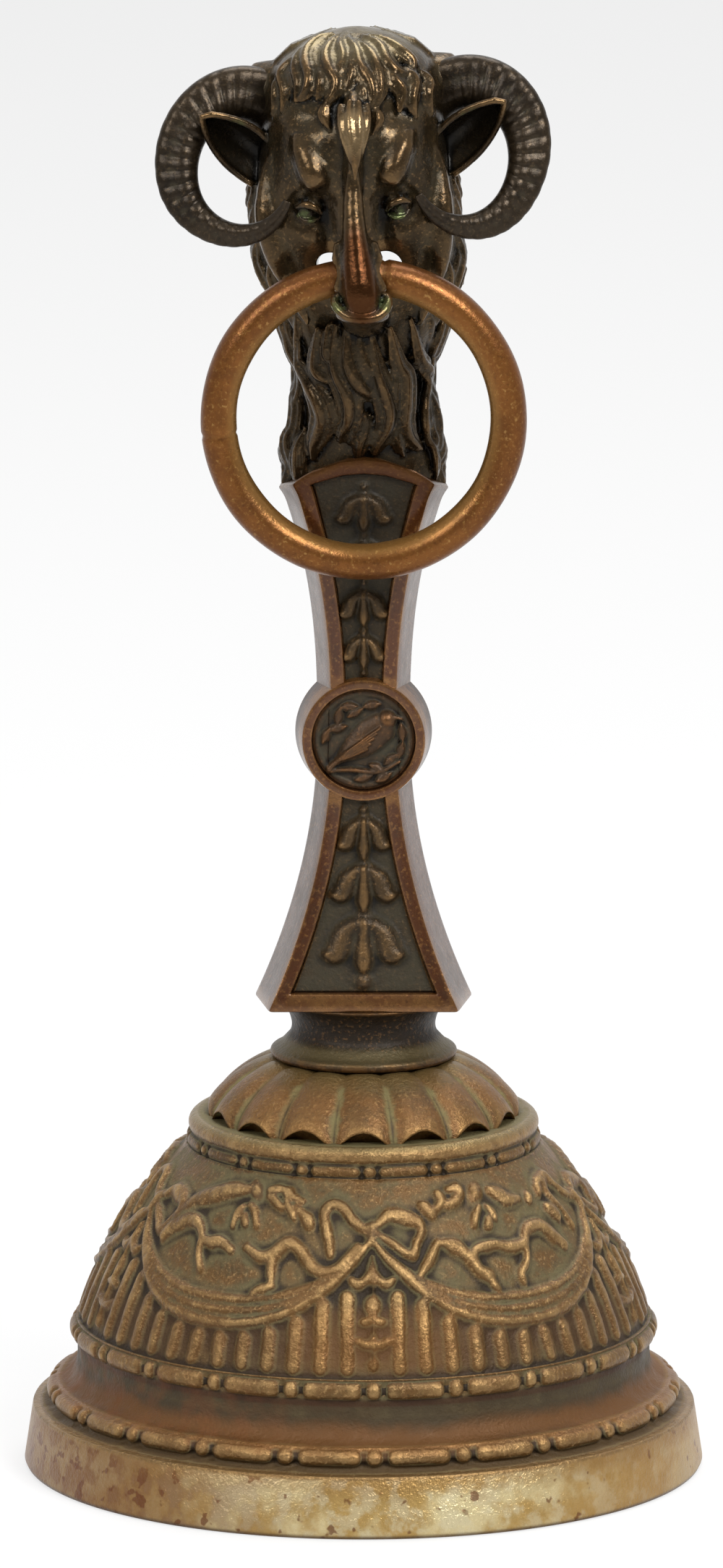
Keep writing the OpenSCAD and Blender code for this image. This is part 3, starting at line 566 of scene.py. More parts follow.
cup_bronze, tree, shader, aged = bronze(
    "cup_bronze", body=(96, 68, 34), deep=(40, 29, 14), worn_and_highlight=(166, 134, 88),
    dust=(92, 83, 54), wear_and_highlight=0.7, dusting=0.95, roughness=0.38, bump=0.9)
coords, place = object_place(tree)
stains = noise(coords, 110, 5, 0.62)
blots = noise(coords, 420, 4, 0.55)
rust = noise(coords, 640, 2, 0.5)
stain_wave = 3
wavy_z = plus(place["Z"], times(less(stains, 0.5), stain_wave))


def band(along, low, high, edge):
    """1 between two places in mm along an axis, with soft edges."""
    rising = ramp(along, low - edge, low + edge)
    falling = ramp(along, high - edge, high + edge)
    return times(rising, less(1.0, falling))


def tint(share, strength, under, over):
    """So much of a paint chart's colour over what lies under it."""
    return blend(times(share, strength), under, colour(*over))


# Rings of colour: the hollow moulding is olive above and orange brown below, and under the beads it is
# darkened with painted shadow.
# The staves are brown at their feet.
skin = aged.outputs["Color"]
for height, low, high, edge, strength, shade in (
        (wavy_z, 9.8, 12.2, 0.8, 0.3, (96, 82, 56)),
        (wavy_z, 7.8, 9.8, 0.8, 0.45, (134, 88, 42)),
        # painted shadow under the beads
        (place["Z"], 11.7, 12.3, 0.15, 0.7, (58, 32, 14)),
        (place["Z"], 5.7, 6.6, 0.2, 0.45, (104, 80, 46)),
        (wavy_z, 14.8, 18.6, 1, 0.4, (86, 57, 28))):
    skin = tint(band(height, low, high, edge), strength, skin, shade)

# The staves in the middle of the front are tinted amber, the moulding is rusty on its left, and dust lies on
# the cap's seat
front_middle = times(band(place["X"], -6, 9, 3), ramp(place["Y"], -15, -20))
skin = tint(times(front_middle, band(place["Z"], 14.8, 20.5, 0.8)), 0.2, skin, (140, 92, 38))
rusty = times(band(place["Z"], 7.5, 13.5, 1), ramp(place["X"], 4, -20))
skin = tint(times(rusty, ramp(blots, 0.4, 0.66)), 0.3, skin, (118, 66, 30))
skin = tint(ramp(place["Z"], 33.4, 34.1), 0.6, skin, (104, 95, 62))

# The rim is worn to bare pale brass, blotched with mustard and spotted with red brown, most on its left
brass = blend(ramp(stains, 0.42, 0.58), colour(202, 186, 142), colour(168, 138, 82))
brass = tint(ramp(blots, 0.5, 0.62), 0.5, brass, (200, 190, 158))
left_side = ramp(place["X"], -1, -26)
brass = tint(left_side, 0.85, brass, (128, 94, 58))
brass = tint(times(left_side, ramp(blots, 0.44, 0.58)), 0.6, brass, (110, 68, 36))
brass = tint(ramp(place["X"], 12, 29), 0.7, brass, (150, 114, 64))
spots = ramp(plus(rust, times(left_side, 0.07)), 0.66, 0.71)
brass = tint(spots, 0.75, brass, (98, 54, 30))
brass = tint(ramp(wavy_z, 3.4, 5.6), 0.5, brass, (128, 94, 54))
brass = tint(band(place["Z"], -1, 0.4, 0.2), 0.8, brass, (70, 48, 30))
rim_share = less(1.0, ramp(place["Z"], rim_band_h - 0.5, rim_band_h - 0.1))
tree.links.new(blend(rim_share, skin, brass), shader.inputs["Base Color"])
finish_piece(bell_wall, "bell", "cup_bronze", cup_bronze, "bell_cup")

# Crown cap: a cast dome of sixteen gadroons that sits on the cup's crown, under the spool.
# Each lobe ends in an arched lip with a dark hollow under it, and olive dust lies in the grooves.

cap_low, cap_high = node_box("crown_cap")
gadroons = 16
lobe_columns = 14
cap_edge_r = 15.4
cap_top_r = 8.6
cap_drop = 6.35
cap_slope = 0.68
groove_d = 0.85
lip_turn = 66
lip_arch = 0.3
hollow_r, hollow_h = 13.0, 3
bore_r = 4.0
top_rows = 26
under_rows = 6


def place_cap(column, row):
    """Rows run from the bore over the lobes to their lips, then in under them and up to the bore again."""
    turn = (column / lobe_columns - 0.5) * 360 / gadroons
    across = np.abs(2 * (column % lobe_columns) / lobe_columns - 1)
    t = np.clip(row / top_rows, 0, 1)
    fall = np.radians(t * mix(lip_turn, 90, across ** 2))
    groove = groove_d * mix(0.3, 1, t) * across ** 2.6
    r = cap_top_r + (cap_edge_r - cap_top_r) * np.sin(fall) - groove * np.sin(fall)
    z = cap_high[2] - cap_drop * (1 - np.cos(fall)) ** cap_slope - groove * np.cos(fall)
    w = np.clip((row - top_rows) / under_rows, 0, 1)
    z = z + lip_arch * (1 - across ** 2) * np.sin(np.pi * w) - (z - cap_low[2]) * w ** 2
    r = mix(r, hollow_r, w)
    closing = (row == 0) | (row == top_rows + under_rows + 1)
    r = np.where(closing, bore_r, r)
    z = np.where(row == 0, cap_high[2], np.where(closing, cap_low[2] + hollow_h, z))
    a = np.radians(turn - 90)
    return r * np.cos(a), r * np.sin(a), z


crown = wrapped_grid("crown_gadroons", gadroons * lobe_columns, top_rows + under_rows + 1, place_cap)
mark_relief(crown, rounds=12, span=0.3)
crown_bronze, tree, shader, aged = bronze(
    "crown_bronze", body=(106, 73, 36), deep=(44, 33, 18), worn_and_highlight=(150, 116, 70),
    dust=(112, 102, 64), wear_and_highlight=0.55, dusting=1.0, roughness=0.38, bump=0.8)
coords, place = object_place(tree)
dust_wave = 2
wavy_z = plus(place["Z"], times(noise(coords, 300, 4), dust_wave))
skin = tint(ramp(wavy_z, 38.5, 41.2), 0.6, aged.outputs["Color"], (104, 94, 60))
tree.links.new(skin, shader.inputs["Base Color"])
finish_piece(crown, "bell", "cup_bronze", crown_bronze, "crown_cap")

# Neck spool: a turned collar of dark bronze between the cap and the handle, clamped by the eye bolt.
# It flares to a thin flange with a rubbed edge and dust on its top.

spool_low, spool_high = node_box("neck_spool")
spool_r = spool_high[0]
neck_r = 6.85
neck_top_r = 8.2
flange_t = 0.9
spool_h = spool_high[2] - spool_low[2]
spool_profile = [(bolt_hole_r, 0), (spool_r - 0.45, 0)]
spool_profile += arc((spool_r - 0.45, flange_t / 2), flange_t / 2, -80, 60, 9)
hollow_line = smooth_line([
    (spool_r - 0.45, 0.95), (spool_r - 0.85, 1.2), (7.45, 1.8), (7.0, 2.35), (neck_r, 3), (6.95, 3.7),
    (7.25, 4.5), (7.7, 5.15), (neck_top_r, spool_h - 0.12)], 4)
spool_profile += [tuple(point) for point in hollow_line]
spool_profile += [(neck_top_r - 0.1, spool_h), (bolt_hole_r, spool_h), (bolt_hole_r, 0)]


def turned(name, profile, columns, base_z):
    """A round piece from its profile of radius and height."""
    line = np.array(profile)

    def place(column, row):
        a = np.radians(column * 360 / columns + 90)
        return line[row, 0] * np.cos(a), line[row, 0] * np.sin(a), base_z + line[row, 1]

    return wrapped_grid(name, columns, len(profile) - 1, place)


spool = turned("neck_collar", spool_profile, 128, spool_low[2])
mark_relief(spool, rounds=6, span=0.12)
spool_bronze, tree, shader, aged = bronze(
    "spool_bronze", body=(35, 25, 15), deep=(18, 13, 8), worn_and_highlight=(112, 80, 46),
    dust=(50, 41, 26), wear_and_highlight=0.6, dusting=0.35, roughness=0.42, bump=0.5)
coords, place = object_place(tree)
flange_dust = band(place["Z"], spool_low[2] + 0.7, spool_low[2] + 1.9, 0.4)
tree.links.new(tint(flange_dust, 0.6, aged.outputs["Color"], (100, 88, 58)), shader.inputs["Base Color"])
finish_piece(spool, "bell", "dark_bronze", spool_bronze, "neck_spool")

# Handle shaft: a waisted bar with bevelled sides, cast with a frame round its sunk panels.
# The frame is rubbed warm brown by the hand, and a round boss at the waist carries the medallions.

shaft_low, shaft_high = node_box("handle_shaft")
medal_low, medal_high = node_box("front_medallion")
shaft_z, arch_z = shaft_low[2], shaft_high[2]
medallion_z = (medal_low[2] + medal_high[2]) / 2
foot_w, waist_w, top_w = 18.2, 6.2, 13.6
foot_t, waist_t, top_t = 15.4, 9.4, 11.2
side_bevel = 1.3
frame_w = 1.4
plaque_sink = 0.7
plaque_t = 0.9
arch_rise = 2.4
boss_r = 5.85
disc_r = 4.9
boss_y = waist_t / 2 + 0.25
corner_z = arch_z - arch_rise
arch_r = ((top_w / 2) ** 2 + arch_rise ** 2) / (2 * arch_rise)
lower_h, upper_h = medallion_z - shaft_z, corner_z - medallion_z


def reach(z):
    """How far a height lies from the medallion's, 1 at the foot and at the arch's corners."""
    return np.where(z < medallion_z, (medallion_z - z) / lower_h, (z - medallion_z) / upper_h)


def face_half_w(z):
    """Half the width of the shaft's face at a height."""
    far = np.maximum(reach(z), 0)
    return np.where(z < medallion_z, mix(waist_w, foot_w, far ** 2), mix(waist_w, top_w, far ** 2.6)) / 2


def face_y(z):
    """How far the shaft's face stands from its middle at a height."""
    return mix(waist_t, np.where(z < medallion_z, foot_t, top_t), reach(z) ** 2) / 2


def arch_drop(x):
    """How far the arched top falls from its crown towards the sides, as a negative height."""
    return np.sqrt(np.maximum(arch_r ** 2 - x ** 2, 0)) - arch_r


def arch_share(z):
    """How much a level follows the arched top: none at the medallion, wholly at the top."""
    return np.clip((z - medallion_z) / (arch_z - medallion_z), 0, 1) ** 2


def edge_height(z):
    """Height of a level at the shaft's sides, where the arch brings it down."""
    return z + arch_share(z) * arch_drop(face_half_w(np.minimum(z, corner_z)))


pocket = plaque_sink + plaque_t
rail_end = disc_r - 0.1
panel_z0 = shaft_z + frame_w + 0.3
panel_top = arch_z - frame_w

# Up the shaft: each level's height, how far its edge is rounded in, and how deep the panel may sink there
levels = [(shaft_z, 0.25, 0), (shaft_z + 0.08, 0.08, 0), (shaft_z + 0.28, 0, 0), (panel_z0 - 0.18, 0, 0),
          (panel_z0 - 0.04, 0, 0.05), (panel_z0 + 0.04, 0, 0.25), (panel_z0 + 0.1, 0, pocket)]
levels += [(z, 0, pocket) for z in np.linspace(panel_z0 + 0.8, medallion_z - rail_end, 22)]
levels += [(medallion_z + side * (rail_end - 0.1), 0, pocket) for side in (-1, 1)]
levels += [(z, 0, pocket) for z in np.linspace(medallion_z + rail_end, panel_top - 0.6, 26)]
levels += [(panel_top - 0.1, 0, pocket), (panel_top - 0.04, 0, 0.25), (panel_top + 0.04, 0, 0.05),
           (panel_top + 0.18, 0, 0), (arch_z - 0.3, 0, 0), (arch_z - 0.1, 0.06, 0), (arch_z, 0.25, 0)]
level_z, level_in, level_pocket = np.array(levels).T

# Across a quarter of the section: along the bevel (0 to 1), then in from the frame's edge and down the panel
quarter = [("bevel", 0, 0), ("bevel", 0.05, 0), ("bevel", 0.3, 0), ("bevel", 0.65, 0), ("bevel", 0.93, 0),
           ("face", 0.05, 0.05), ("face", 0.2, 0), ("face", 0.6, 0), ("face", frame_w - 0.3, 0),
           ("face", frame_w - 0.1, 0.05), ("face", frame_w, 0.2), ("face", frame_w + 0.04, 0.6),
           ("face", frame_w + 0.08, pocket), ("face", frame_w + 0.35, pocket), ("middle", 0.4, pocket),
           ("middle", 0, pocket)]
loop = []
for side, front in ((1, -1), (-1, -1), (-1, 1), (1, 1)):
    part = [(side, front, *q) for q in quarter]
    part = part if side * front < 0 else part[::-1]
    loop += part[:-1]
loop.append(loop[0])


def place_shaft(column, row):
    """Columns run round the section, and rows up the levels, with a point to close each end."""
    ends = (row == 0) | (row == len(levels) + 1)
    level = np.clip(row - 1, 0, len(levels) - 1)
    z = level_z[level]
    share = arch_share(z)
    edge_z = edge_height(z)
    half_w = face_half_w(edge_z) - level_in[level]
    x, y = np.zeros(len(row)), np.zeros(len(row))
    for i, (side, front, kind, value, depth) in enumerate(loop):
        here = column == i
        w, deep = half_w[here], np.minimum(depth, level_pocket[level[here]])
        face = face_y(edge_z[here]) - level_in[level[here]]
        if kind == "bevel":
            x[here] = side * (w + side_bevel * (1 - value))
            y[here] = front * face * value
        else:
            rounded = depth if kind == "face" and value < 0.1 else deep
            near_disc = np.abs(z[here] - medallion_z) < rail_end - 0.05
            inside = w - value if kind == "face" else (w - frame_w) * value
            x[here] = side * inside
            y[here] = front * (face - np.where(near_disc, pocket, rounded))
    z = z + share * arch_drop(x)
    x, y = np.where(ends, 0, x), np.where(ends, 0, y)
    z = np.where(row == 0, shaft_z, np.where(ends, arch_z - 0.1, z))
    return x, y, z


shaft = wrapped_grid("handle_frame", len(loop) - 1, len(levels) + 1, place_shaft)

boss_columns = 96
boss_half = [(0, -boss_y + pocket), (disc_r, -boss_y + pocket), (disc_r, -boss_y + 0.22),
             (disc_r + 0.06, -boss_y + 0.06), (disc_r + 0.22, -boss_y), (boss_r - 0.22, -boss_y),
             (boss_r - 0.04, -boss_y + 0.05), (boss_r + 0.04, -boss_y + 0.25), (boss_r + 0.6, -0.15),
             (boss_r + 0.65, 0)]
boss_line = np.array(boss_half + [(r, -y) for r, y in boss_half[-2::-1]])


def place_boss(column, row):
    a = np.radians(column * 360 / boss_columns)
    return boss_line[row, 0] * np.cos(a), boss_line[row, 1], medallion_z + boss_line[row, 0] * np.sin(a)


boss = wrapped_grid("handle_boss", boss_columns, len(boss_line) - 1, place_boss)


def pick(*pieces):
    """Selects these alone, with the first of them active."""
    bpy.ops.object.select_all(action="DESELECT")
    for piece in pieces:
        piece.select_set(True)
    bpy.context.view_layer.objects.active = pieces[0]


def join(first, *others):
    """One object out of several."""
    pick(first, *others)
    bpy.ops.object.join()
    return first


def add_modifier(piece, kind, **settings):
    """A modifier with its settings, applied at once."""
    pick(piece)
    modifier = piece.modifiers.new(kind.lower(), kind)
    for name, value in settings.items():
        setattr(modifier, name, value)
    bpy.ops.object.modifier_apply(modifier=modifier.name)


join(shaft, boss)
bpy.ops.object.shade_smooth_by_angle(angle=math.radians(32))
mark_relief(shaft, rounds=2, span=0.12)
frame_bronze, tree, shader, aged = bronze(
    "frame_bronze", body=(76, 41, 15), deep=(44, 23, 8), worn_and_highlight=(140, 98, 52),
    dust=(82, 64, 34), wear_and_highlight=0.6, dusting=0.25, roughness=0.28)

# Under the beard the arch gets painted shade in dark red brown, and lower down the hand has left a waxy gloss
# that stops where the painted shade begins
coords, place = object_place(tree)
arch_shade = ramp(place["Z"], 91, 96.5)
tree.links.new(tint(arch_shade, 0.6, aged.outputs["Color"], (58, 32, 14)), shader.inputs["Base Color"])
waxed = times(less(1.0, arch_shade), 0.45)
tree.links.new(waxed, shader.inputs["Coat Weight"])
shader.inputs["Coat Roughness"].default_value = 0.16
finish_piece(shaft, "bell", "frame_bronze", frame_bronze, "handle_shaft")

# Plaques: cast strips with bellflower husks and beads on a dark olive ground, let into the frames.
# The flowers hang down and grow towards the foot, and the upper strip follows the arched top.


def bellflower(z, width, height):
    """A husk that hangs from z: a long bud between two full petals, flicked out at their ends."""
    yield dot(0, z - 0.05 * height, 0.17 * width), 0.6
    petal = [(0.13, -0.12, 0.12), (0.25, -0.3, 0.18), (0.31, -0.5, 0.2), (0.39, -0.66, 0.16),
             (0.5, -0.66, 0.08)]
    for side in (-1, 1):
        yield smooth_line([(side * x * width, z + y * height, w * width) for x, y, w in petal]), 0.8
    bud = [(-0.06, 0.1), (-0.4, 0.125), (-0.75, 0.15), (-1, 0.04)]
    yield smooth_line([(0, z + y * height, w * width) for y, w in bud]), 1.0


def bead(z, radius):
    yield dot(0, z, radius), 0.6


def lower_flowers():
    top = medallion_z - boss_r
    for z, width, height, bead_r in ((1.7, 4.5, 3.9, 0.5), (6.2, 5.6, 4.3, 0.55), (11.2, 7, 5.1, 0.65)):
        yield from bead(top - z + 0.75, bead_r)
        yield from bellflower(top - z, width, height)
    yield from bead(top - 17.1, 0.85)


def upper_flowers():
    foot_z = medallion_z + boss_r
    for z, width, height in ((4.1, 3.7, 3.0), (8.5, 4.2, 3.3), (13.2, 4.6, 3.4), (17.8, 4.8, 3.4)):
        yield from bead(foot_z + z - height - 0.5, 0.42)
        yield from bellflower(foot_z + z, width, height)
    yield from bead(foot_z + 18.6, 0.45)


def mark_height(piece, ground, span):
    """Adds to the stored relief how far a point stands over the ground (1 at span mm), given by height."""
    points = points_of(piece) / MM
    stored = piece.data.attributes["relief"].data
    relief = np.empty(len(points), np.float32)
    stored.foreach_get("value", relief)
    over = np.clip((np.abs(points[:, 1]) - ground(points[:, 2])) / span, 0, 1)
    stored.foreach_set("value", (0.5 * relief + over - 0.3).astype(np.float32))


strip_clearance = 0.02
husk_lift = 1.2


def relief_strip(name, z0, z1, strokes, front):
    """A strip of the shaft's face inside the frame, with its ornament raised and its back closed."""
    across, along = 40, 120
    lanes, levels_up = np.linspace(-1, 1, across + 1), np.linspace(z0, z1, along - 1)
    spread, heights = np.meshgrid(lanes, levels_up, indexing="ij")
    x = spread * (face_half_w(edge_height(heights)) - frame_w - strip_clearance)
    z = heights + arch_share(heights) * arch_drop(x)
    raised = husk_lift * soften(emboss(x, z, list(strokes)))

    def place(column, row):
        at = np.where(column == across + 2, 0, np.minimum(column, across))
        level = np.clip(row - 1, 0, along - 2)
        behind = (column == across + 1) | (row == 0) | (row == along)
        px, pz = x[at, level], z[at, level]
        py = face_y(pz) - plaque_sink + np.where(behind, -plaque_t, raised[at, level])
        return px * -front, py * front, pz

    strip = wrapped_grid(name, across + 2, along, place)
    mark_relief(strip, rounds=10, span=0.3)
    mark_height(strip, lambda z: face_y(z) - plaque_sink, 1.5)
    return strip


plaque_bronze, tree, shader, aged = bronze(
    "plaque_bronze", body=(58, 45, 28), deep=(20, 17, 11), worn_and_highlight=(124, 95, 60),
    dust=(49, 43, 27), wear_and_highlight=0.7, dusting=0.85, roughness=0.4, bump=0.6)
coords, place = object_place(tree)
# The upper strips get painted shade, darker towards their top
upper_shade = ramp(place["Z"], 79, 92)
tree.links.new(tint(upper_shade, 0.5, aged.outputs["Color"], (26, 22, 14)), shader.inputs["Base Color"])
under_disc = disc_r - 0.3
lower_z0, lower_z1 = panel_z0 + 0.1, medallion_z - under_disc
upper_z0, upper_z1 = medallion_z + under_disc, panel_top - 0.05
for name, front in (("front", -1), ("rear", 1)):
    lower = relief_strip(name + "_lower_husks", lower_z0, lower_z1, lower_flowers(), front)
    finish_piece(lower, "bell", "dark_bronze", plaque_bronze, name + "_lower_plaque")
    upper = relief_strip(name + "_upper_husks", upper_z0, upper_z1, upper_flowers(), front)
    finish_piece(upper, "bell", "dark_bronze", plaque_bronze, name + "_upper_plaque")

# Medallions: round reliefs of a small bird on a branch among leaves, cast in dark bronze.
# Each is a disc with a closed back, let into one face of the boss.

bird_lift = 1.1
leaf_l = 1.7
leaf_shape = ((0, 0.15), (0.45, 0.55), (1, 0.08))
bird_leaves = (
    (-3.9, -0.3, 65), (-3.2, 0.9, 15), (-2.5, 1.5, 80), (-1.5, 2.2, 30), (-2.2, 3.1, 5), (3.3, -1.8, 75),
    (3.7, -0.1, 95), (2.0, -2.4, 40), (-0.8, -3.9, 15), (0.0, 3.2, 10), (1.2, -4.0, 30), (0.6, -2.4, -30))


def leaf(x, y, turn):
    """A pointed leaf from a place, turned in degrees."""
    a = math.radians(turn)
    line = [(x + t * leaf_l * math.cos(a), y + t * leaf_l * math.sin(a), w) for t, w in leaf_shape]
    return smooth_line(line), 0.45


def bird_strokes():
    """A bird that sits with its head to the upper right and its tail to the lower left."""
    breast = [(-3.3, -2.7, 0.3), (-2.2, -1.8, 0.5), (-0.9, -0.8, 1.2), (0.4, 0.2, 1.7), (1.5, 1.0, 1.6)]
    yield smooth_line(breast), 0.75
    yield dot(2.2, 1.9, 1.0), 0.85
    yield [(2.9, 2.2, 0.3), (3.7, 2.0, 0.1)], 0.55
    for k in range(5):
        feather = [(1.5 - 0.3 * k, 1.2 - 0.5 * k, 0.3), (0.1 - 0.32 * k, 0.2 - 0.42 * k, 0.32),
                   (-1.7 - 0.2 * k, -1.1 - 0.22 * k, 0.2)]
        yield smooth_line(feather), 1.05 - 0.04 * k
    yield smooth_line([(-3.4, -3, 0.25), (-1.2, -2.9, 0.32), (1.4, -3.1, 0.3), (3.4, -2.1, 0.22)]), 0.5
    for x, y, turn in bird_leaves:
        yield leaf(x, y, turn)


def relief_disc(name, front):
    """A round plaque with its relief on the face and a closed back."""
    rings, columns = 44, 144
    turns = np.arange(columns) * 2 * np.pi / columns
    radius, turn = np.meshgrid(np.linspace(0, disc_r - 0.03, rings), turns)
    raised = emboss(radius * np.cos(turn), radius * np.sin(turn), list(bird_strokes()))
    rim_line = [(disc_r - 0.45, 0, 0.3), (disc_r - 0.44, 0, 0.3)]
    raised += emboss(radius, np.zeros_like(radius), [(rim_line, 0.12)])
    raised[:, 0] = raised[:, 0].mean()

    def place(column, row):
        ring = np.clip(row, 0, rings - 1)
        r = np.where(row == rings + 1, 0, radius[0, ring])
        a = column * 2 * np.pi / columns
        face = boss_y - plaque_sink
        y = np.where(row >= rings, face - plaque_t, face + raised[column % columns, ring] * bird_lift)
        return -front * r * np.cos(a), front * y, medallion_z + r * np.sin(a)

    disc = wrapped_grid(name, columns, rings + 1, place)
    mark_relief(disc, rounds=8, span=0.16)
    mark_height(disc, lambda z: boss_y - plaque_sink, 1.0)
    return disc


medal_bronze = bronze(
    "medal_bronze", body=(62, 46, 31), deep=(26, 20, 13), worn_and_highlight=(112, 78, 48),
    dust=(58, 56, 41), wear_and_highlight=0.8, dusting=0.7, roughness=0.44, bump=0.35)[0]
for name, front in (("front", -1), ("rear", 1)):
    disc = relief_disc(name + "_bird_disc", front)
    finish_piece(disc, "bell", "dark_bronze", medal_bronze, name + "_medallion")

# Ram's head: cast in one with its beard, nose, ears and crown of hair, and set on the shaft's stud.
# Skull, muzzle and brows are modelled first and melted together, and the locks are laid over them.

ring_low, ring_high = node_box("nose_ring")
ring_wire = ring_high[1] - ring_low[1]
ring_y = (ring_low[1] + ring_high[1]) / 2
nose_z = ring_high[2] - ring_wire / 2
hole_r = ring_wire / 2 + 0.6

# Heights over the nose's bar, with the half width, the front and the back of the skull there
skull_levels = smooth_line([
    (-23.4, 6.8, 3.6, 5.4), (-21.2, 6.9, 3.9, 5.8), (-18.6, 6.8, 4.2, 6.0), (-16, 6.2, 4.9, 6.2),
    (-13.4, 5.9, 5.8, 6.5), (-9.4, 6.2, 6.4, 7.2), (-4.5, 7.9, 7.0, 8.2), (-1, 9.2, 7.7, 8.9),
    (4.2, 9.4, 9.2, 9.3), (8.4, 9.1, 10.1, 9.3), (12.6, 8.7, 10.1, 8.7), (16, 8.1, 9.1, 7.4),
    (18.6, 7.4, 7.7, 5.6), (20.2, 5.9, 6.0, 3.9), (21.3, 3.9, 4.0, 2.4), (21.9, 1.9, 2.2, 1.2),
    (22.1, 0.6, 0.7, 0.4)], 8)
oval_power = 0.87
hair_locks = 12
lock_rise = 1.3
lock_swing = 5
lock_wave_h = 9
chin_h = -4.55


def skull_at(h):
    """The skull's half width, front and back at a height."""
    return [np.interp(h, skull_levels[:, 0], skull_levels[:, i]) for i in (1, 2, 3)]


def on_skull(turn, h):
    """A point of the skull by its turn from the front in degrees and its height over the nose's bar."""
    half_w, front, back = skull_at(h)
    s, c = np.sin(np.radians(turn)), np.cos(np.radians(turn))
    x = half_w * np.sign(s) * np.abs(s) ** oval_power
    y = -np.where(c > 0, front, back) * np.sign(c) * np.abs(c) ** oval_power
    swell = 1 + hair_rise(c, h) / np.maximum(np.hypot(x, y), 1)
    return np.stack([x * swell, y * swell, nose_z + h * np.ones_like(x)], axis=-1)


def lock_turn(h):
    """How far the lobes of hair swing aside at a height, in degrees."""
    return lock_swing * np.sin(2 * np.pi * h / lock_wave_h)


def fade(t):
    """From 0 to 1 with soft ends."""
    return np.clip(t, 0, 1) ** 2 * (3 - 2 * np.clip(t, 0, 1))


def hair_rise(c, h):
    """The lobes of hair on the beard, the sides of the jaw and the nape; c is the turn's cosine."""
    beard = fade((chin_h - h) / 2) * fade(2.5 * (0.55 - c))
    sides = fade((9 - h) / 2) * fade(4 * (0.15 - c))
    nape = np.where(c > 0, 0, fade(8 * (-c - 0.7)))
    hairy = np.maximum(np.maximum(beard, sides), nape)
    turn = np.degrees(np.arccos(np.clip(c, -1, 1))) + lock_turn(h)
    return lock_rise / 2 * hairy * np.cos(np.radians(hair_locks * turn))


def hollow(x, h, at, size):
    """A soft round patch round a place of the face, 1 at its middle, on both sides alike."""
    return np.exp(-((np.abs(x) - at[0]) / size[0]) ** 2 - ((h - at[1]) / size[1]) ** 2)


skull_columns, skull_rows = 120, 150

# How far the face is sunk, where from the middle and over the nose's bar, and how wide and high
face_hollows = (
    (1.7, (4.3, 6.1), (1.7, 1.5)), (1.3, (2.5, 4.5), (0.9, 3.5)), (0.8, (8.2, 11.5), (1.6, 2.4)),
    (-0.5, (7.0, 4.2), (1.8, 2.4)), (1.1, (3.4, -5.8), (1.5, 1.6)), (0.9, (3.9, 14.9), (1.9, 1.0)))
beard_sink, brow_sink = 0.55, 0.4


def place_skull(column, row):
    """Columns run round the skull, and rows from the neck to the crown, closed at both ends."""
    level = np.clip(row - 1, 0, skull_rows - 2) / (skull_rows - 2)
    h = mix(skull_levels[0, 0], skull_levels[-1, 0], level)
    p = on_skull(column * 360 / skull_columns, h)
    x, y = p[:, 0], p[:, 1]
    sunk = sum(deep * hollow(x, h, at, size) for deep, at, size in face_hollows)
    sunk += beard_sink * np.clip((-6 - h) / 2, 0, 1) * np.clip((h + 20) / 3, 0, 1)
    sunk += brow_sink * np.clip((h - 15) / 2, 0, 1)
    y = np.where(y < 0, y + sunk, y)
    ends = (row == 0) | (row == skull_rows)
    return np.where(ends, 0, x), np.where(ends, 0, y), p[:, 2]


def ball(centre, radii):
    """An egg at a place over the nose's bar."""
    bpy.ops.object.select_all(action="DESELECT")
    x, y, h = centre
    at = (x * MM, y * MM, (nose_z + h) * MM)
    bpy.ops.mesh.primitive_uv_sphere_add(segments=32, ring_count=20, radius=MM, location=at, scale=radii)
    bpy.ops.object.transform_apply(location=True, rotation=True, scale=True)
    return bpy.context.object


def tubes(name, lines):
    """Round tapered strands, each a line of x, y, height over the nose's bar and radius."""
    curve = bpy.data.curves.new(name, "CURVE")
    curve.dimensions = "3D"
    curve.bevel_depth = MM
    curve.bevel_resolution = 2
    curve.use_fill_caps = True
    for line in lines:
        spline = curve.splines.new("POLY")
        spline.points.add(len(line) - 1)
        for point, (x, y, h, radius) in zip(spline.points, line):
            point.co = (x * MM, y * MM, (nose_z + h) * MM, 1)
            point.radius = radius
    piece = bpy.data.objects.new(name, curve)
    bpy.context.collection.objects.link(piece)
    pick(piece)
    bpy.ops.object.convert(target="MESH")
    return bpy.context.object


def melt(pieces, voxel, rounds):
    """One skin over several forms, so fine in mm, rubbed smooth so many times."""
    piece = join(*pieces)
    piece.data.remesh_voxel_size = voxel * MM
    bpy.ops.object.voxel_remesh()
    add_modifier(piece, "SMOOTH", factor=0.5, iterations=rounds)
    return piece


def both_sides(line):
    """A line on the right of the face and its mirror image on the left."""
    return [line, [(-p[0], *p[1:]) for p in line]]


def smooth_tubes(name, lines):
    """Strands that curve through the points of their lines."""
    return tubes(name, [smooth_line(line) for line in lines])


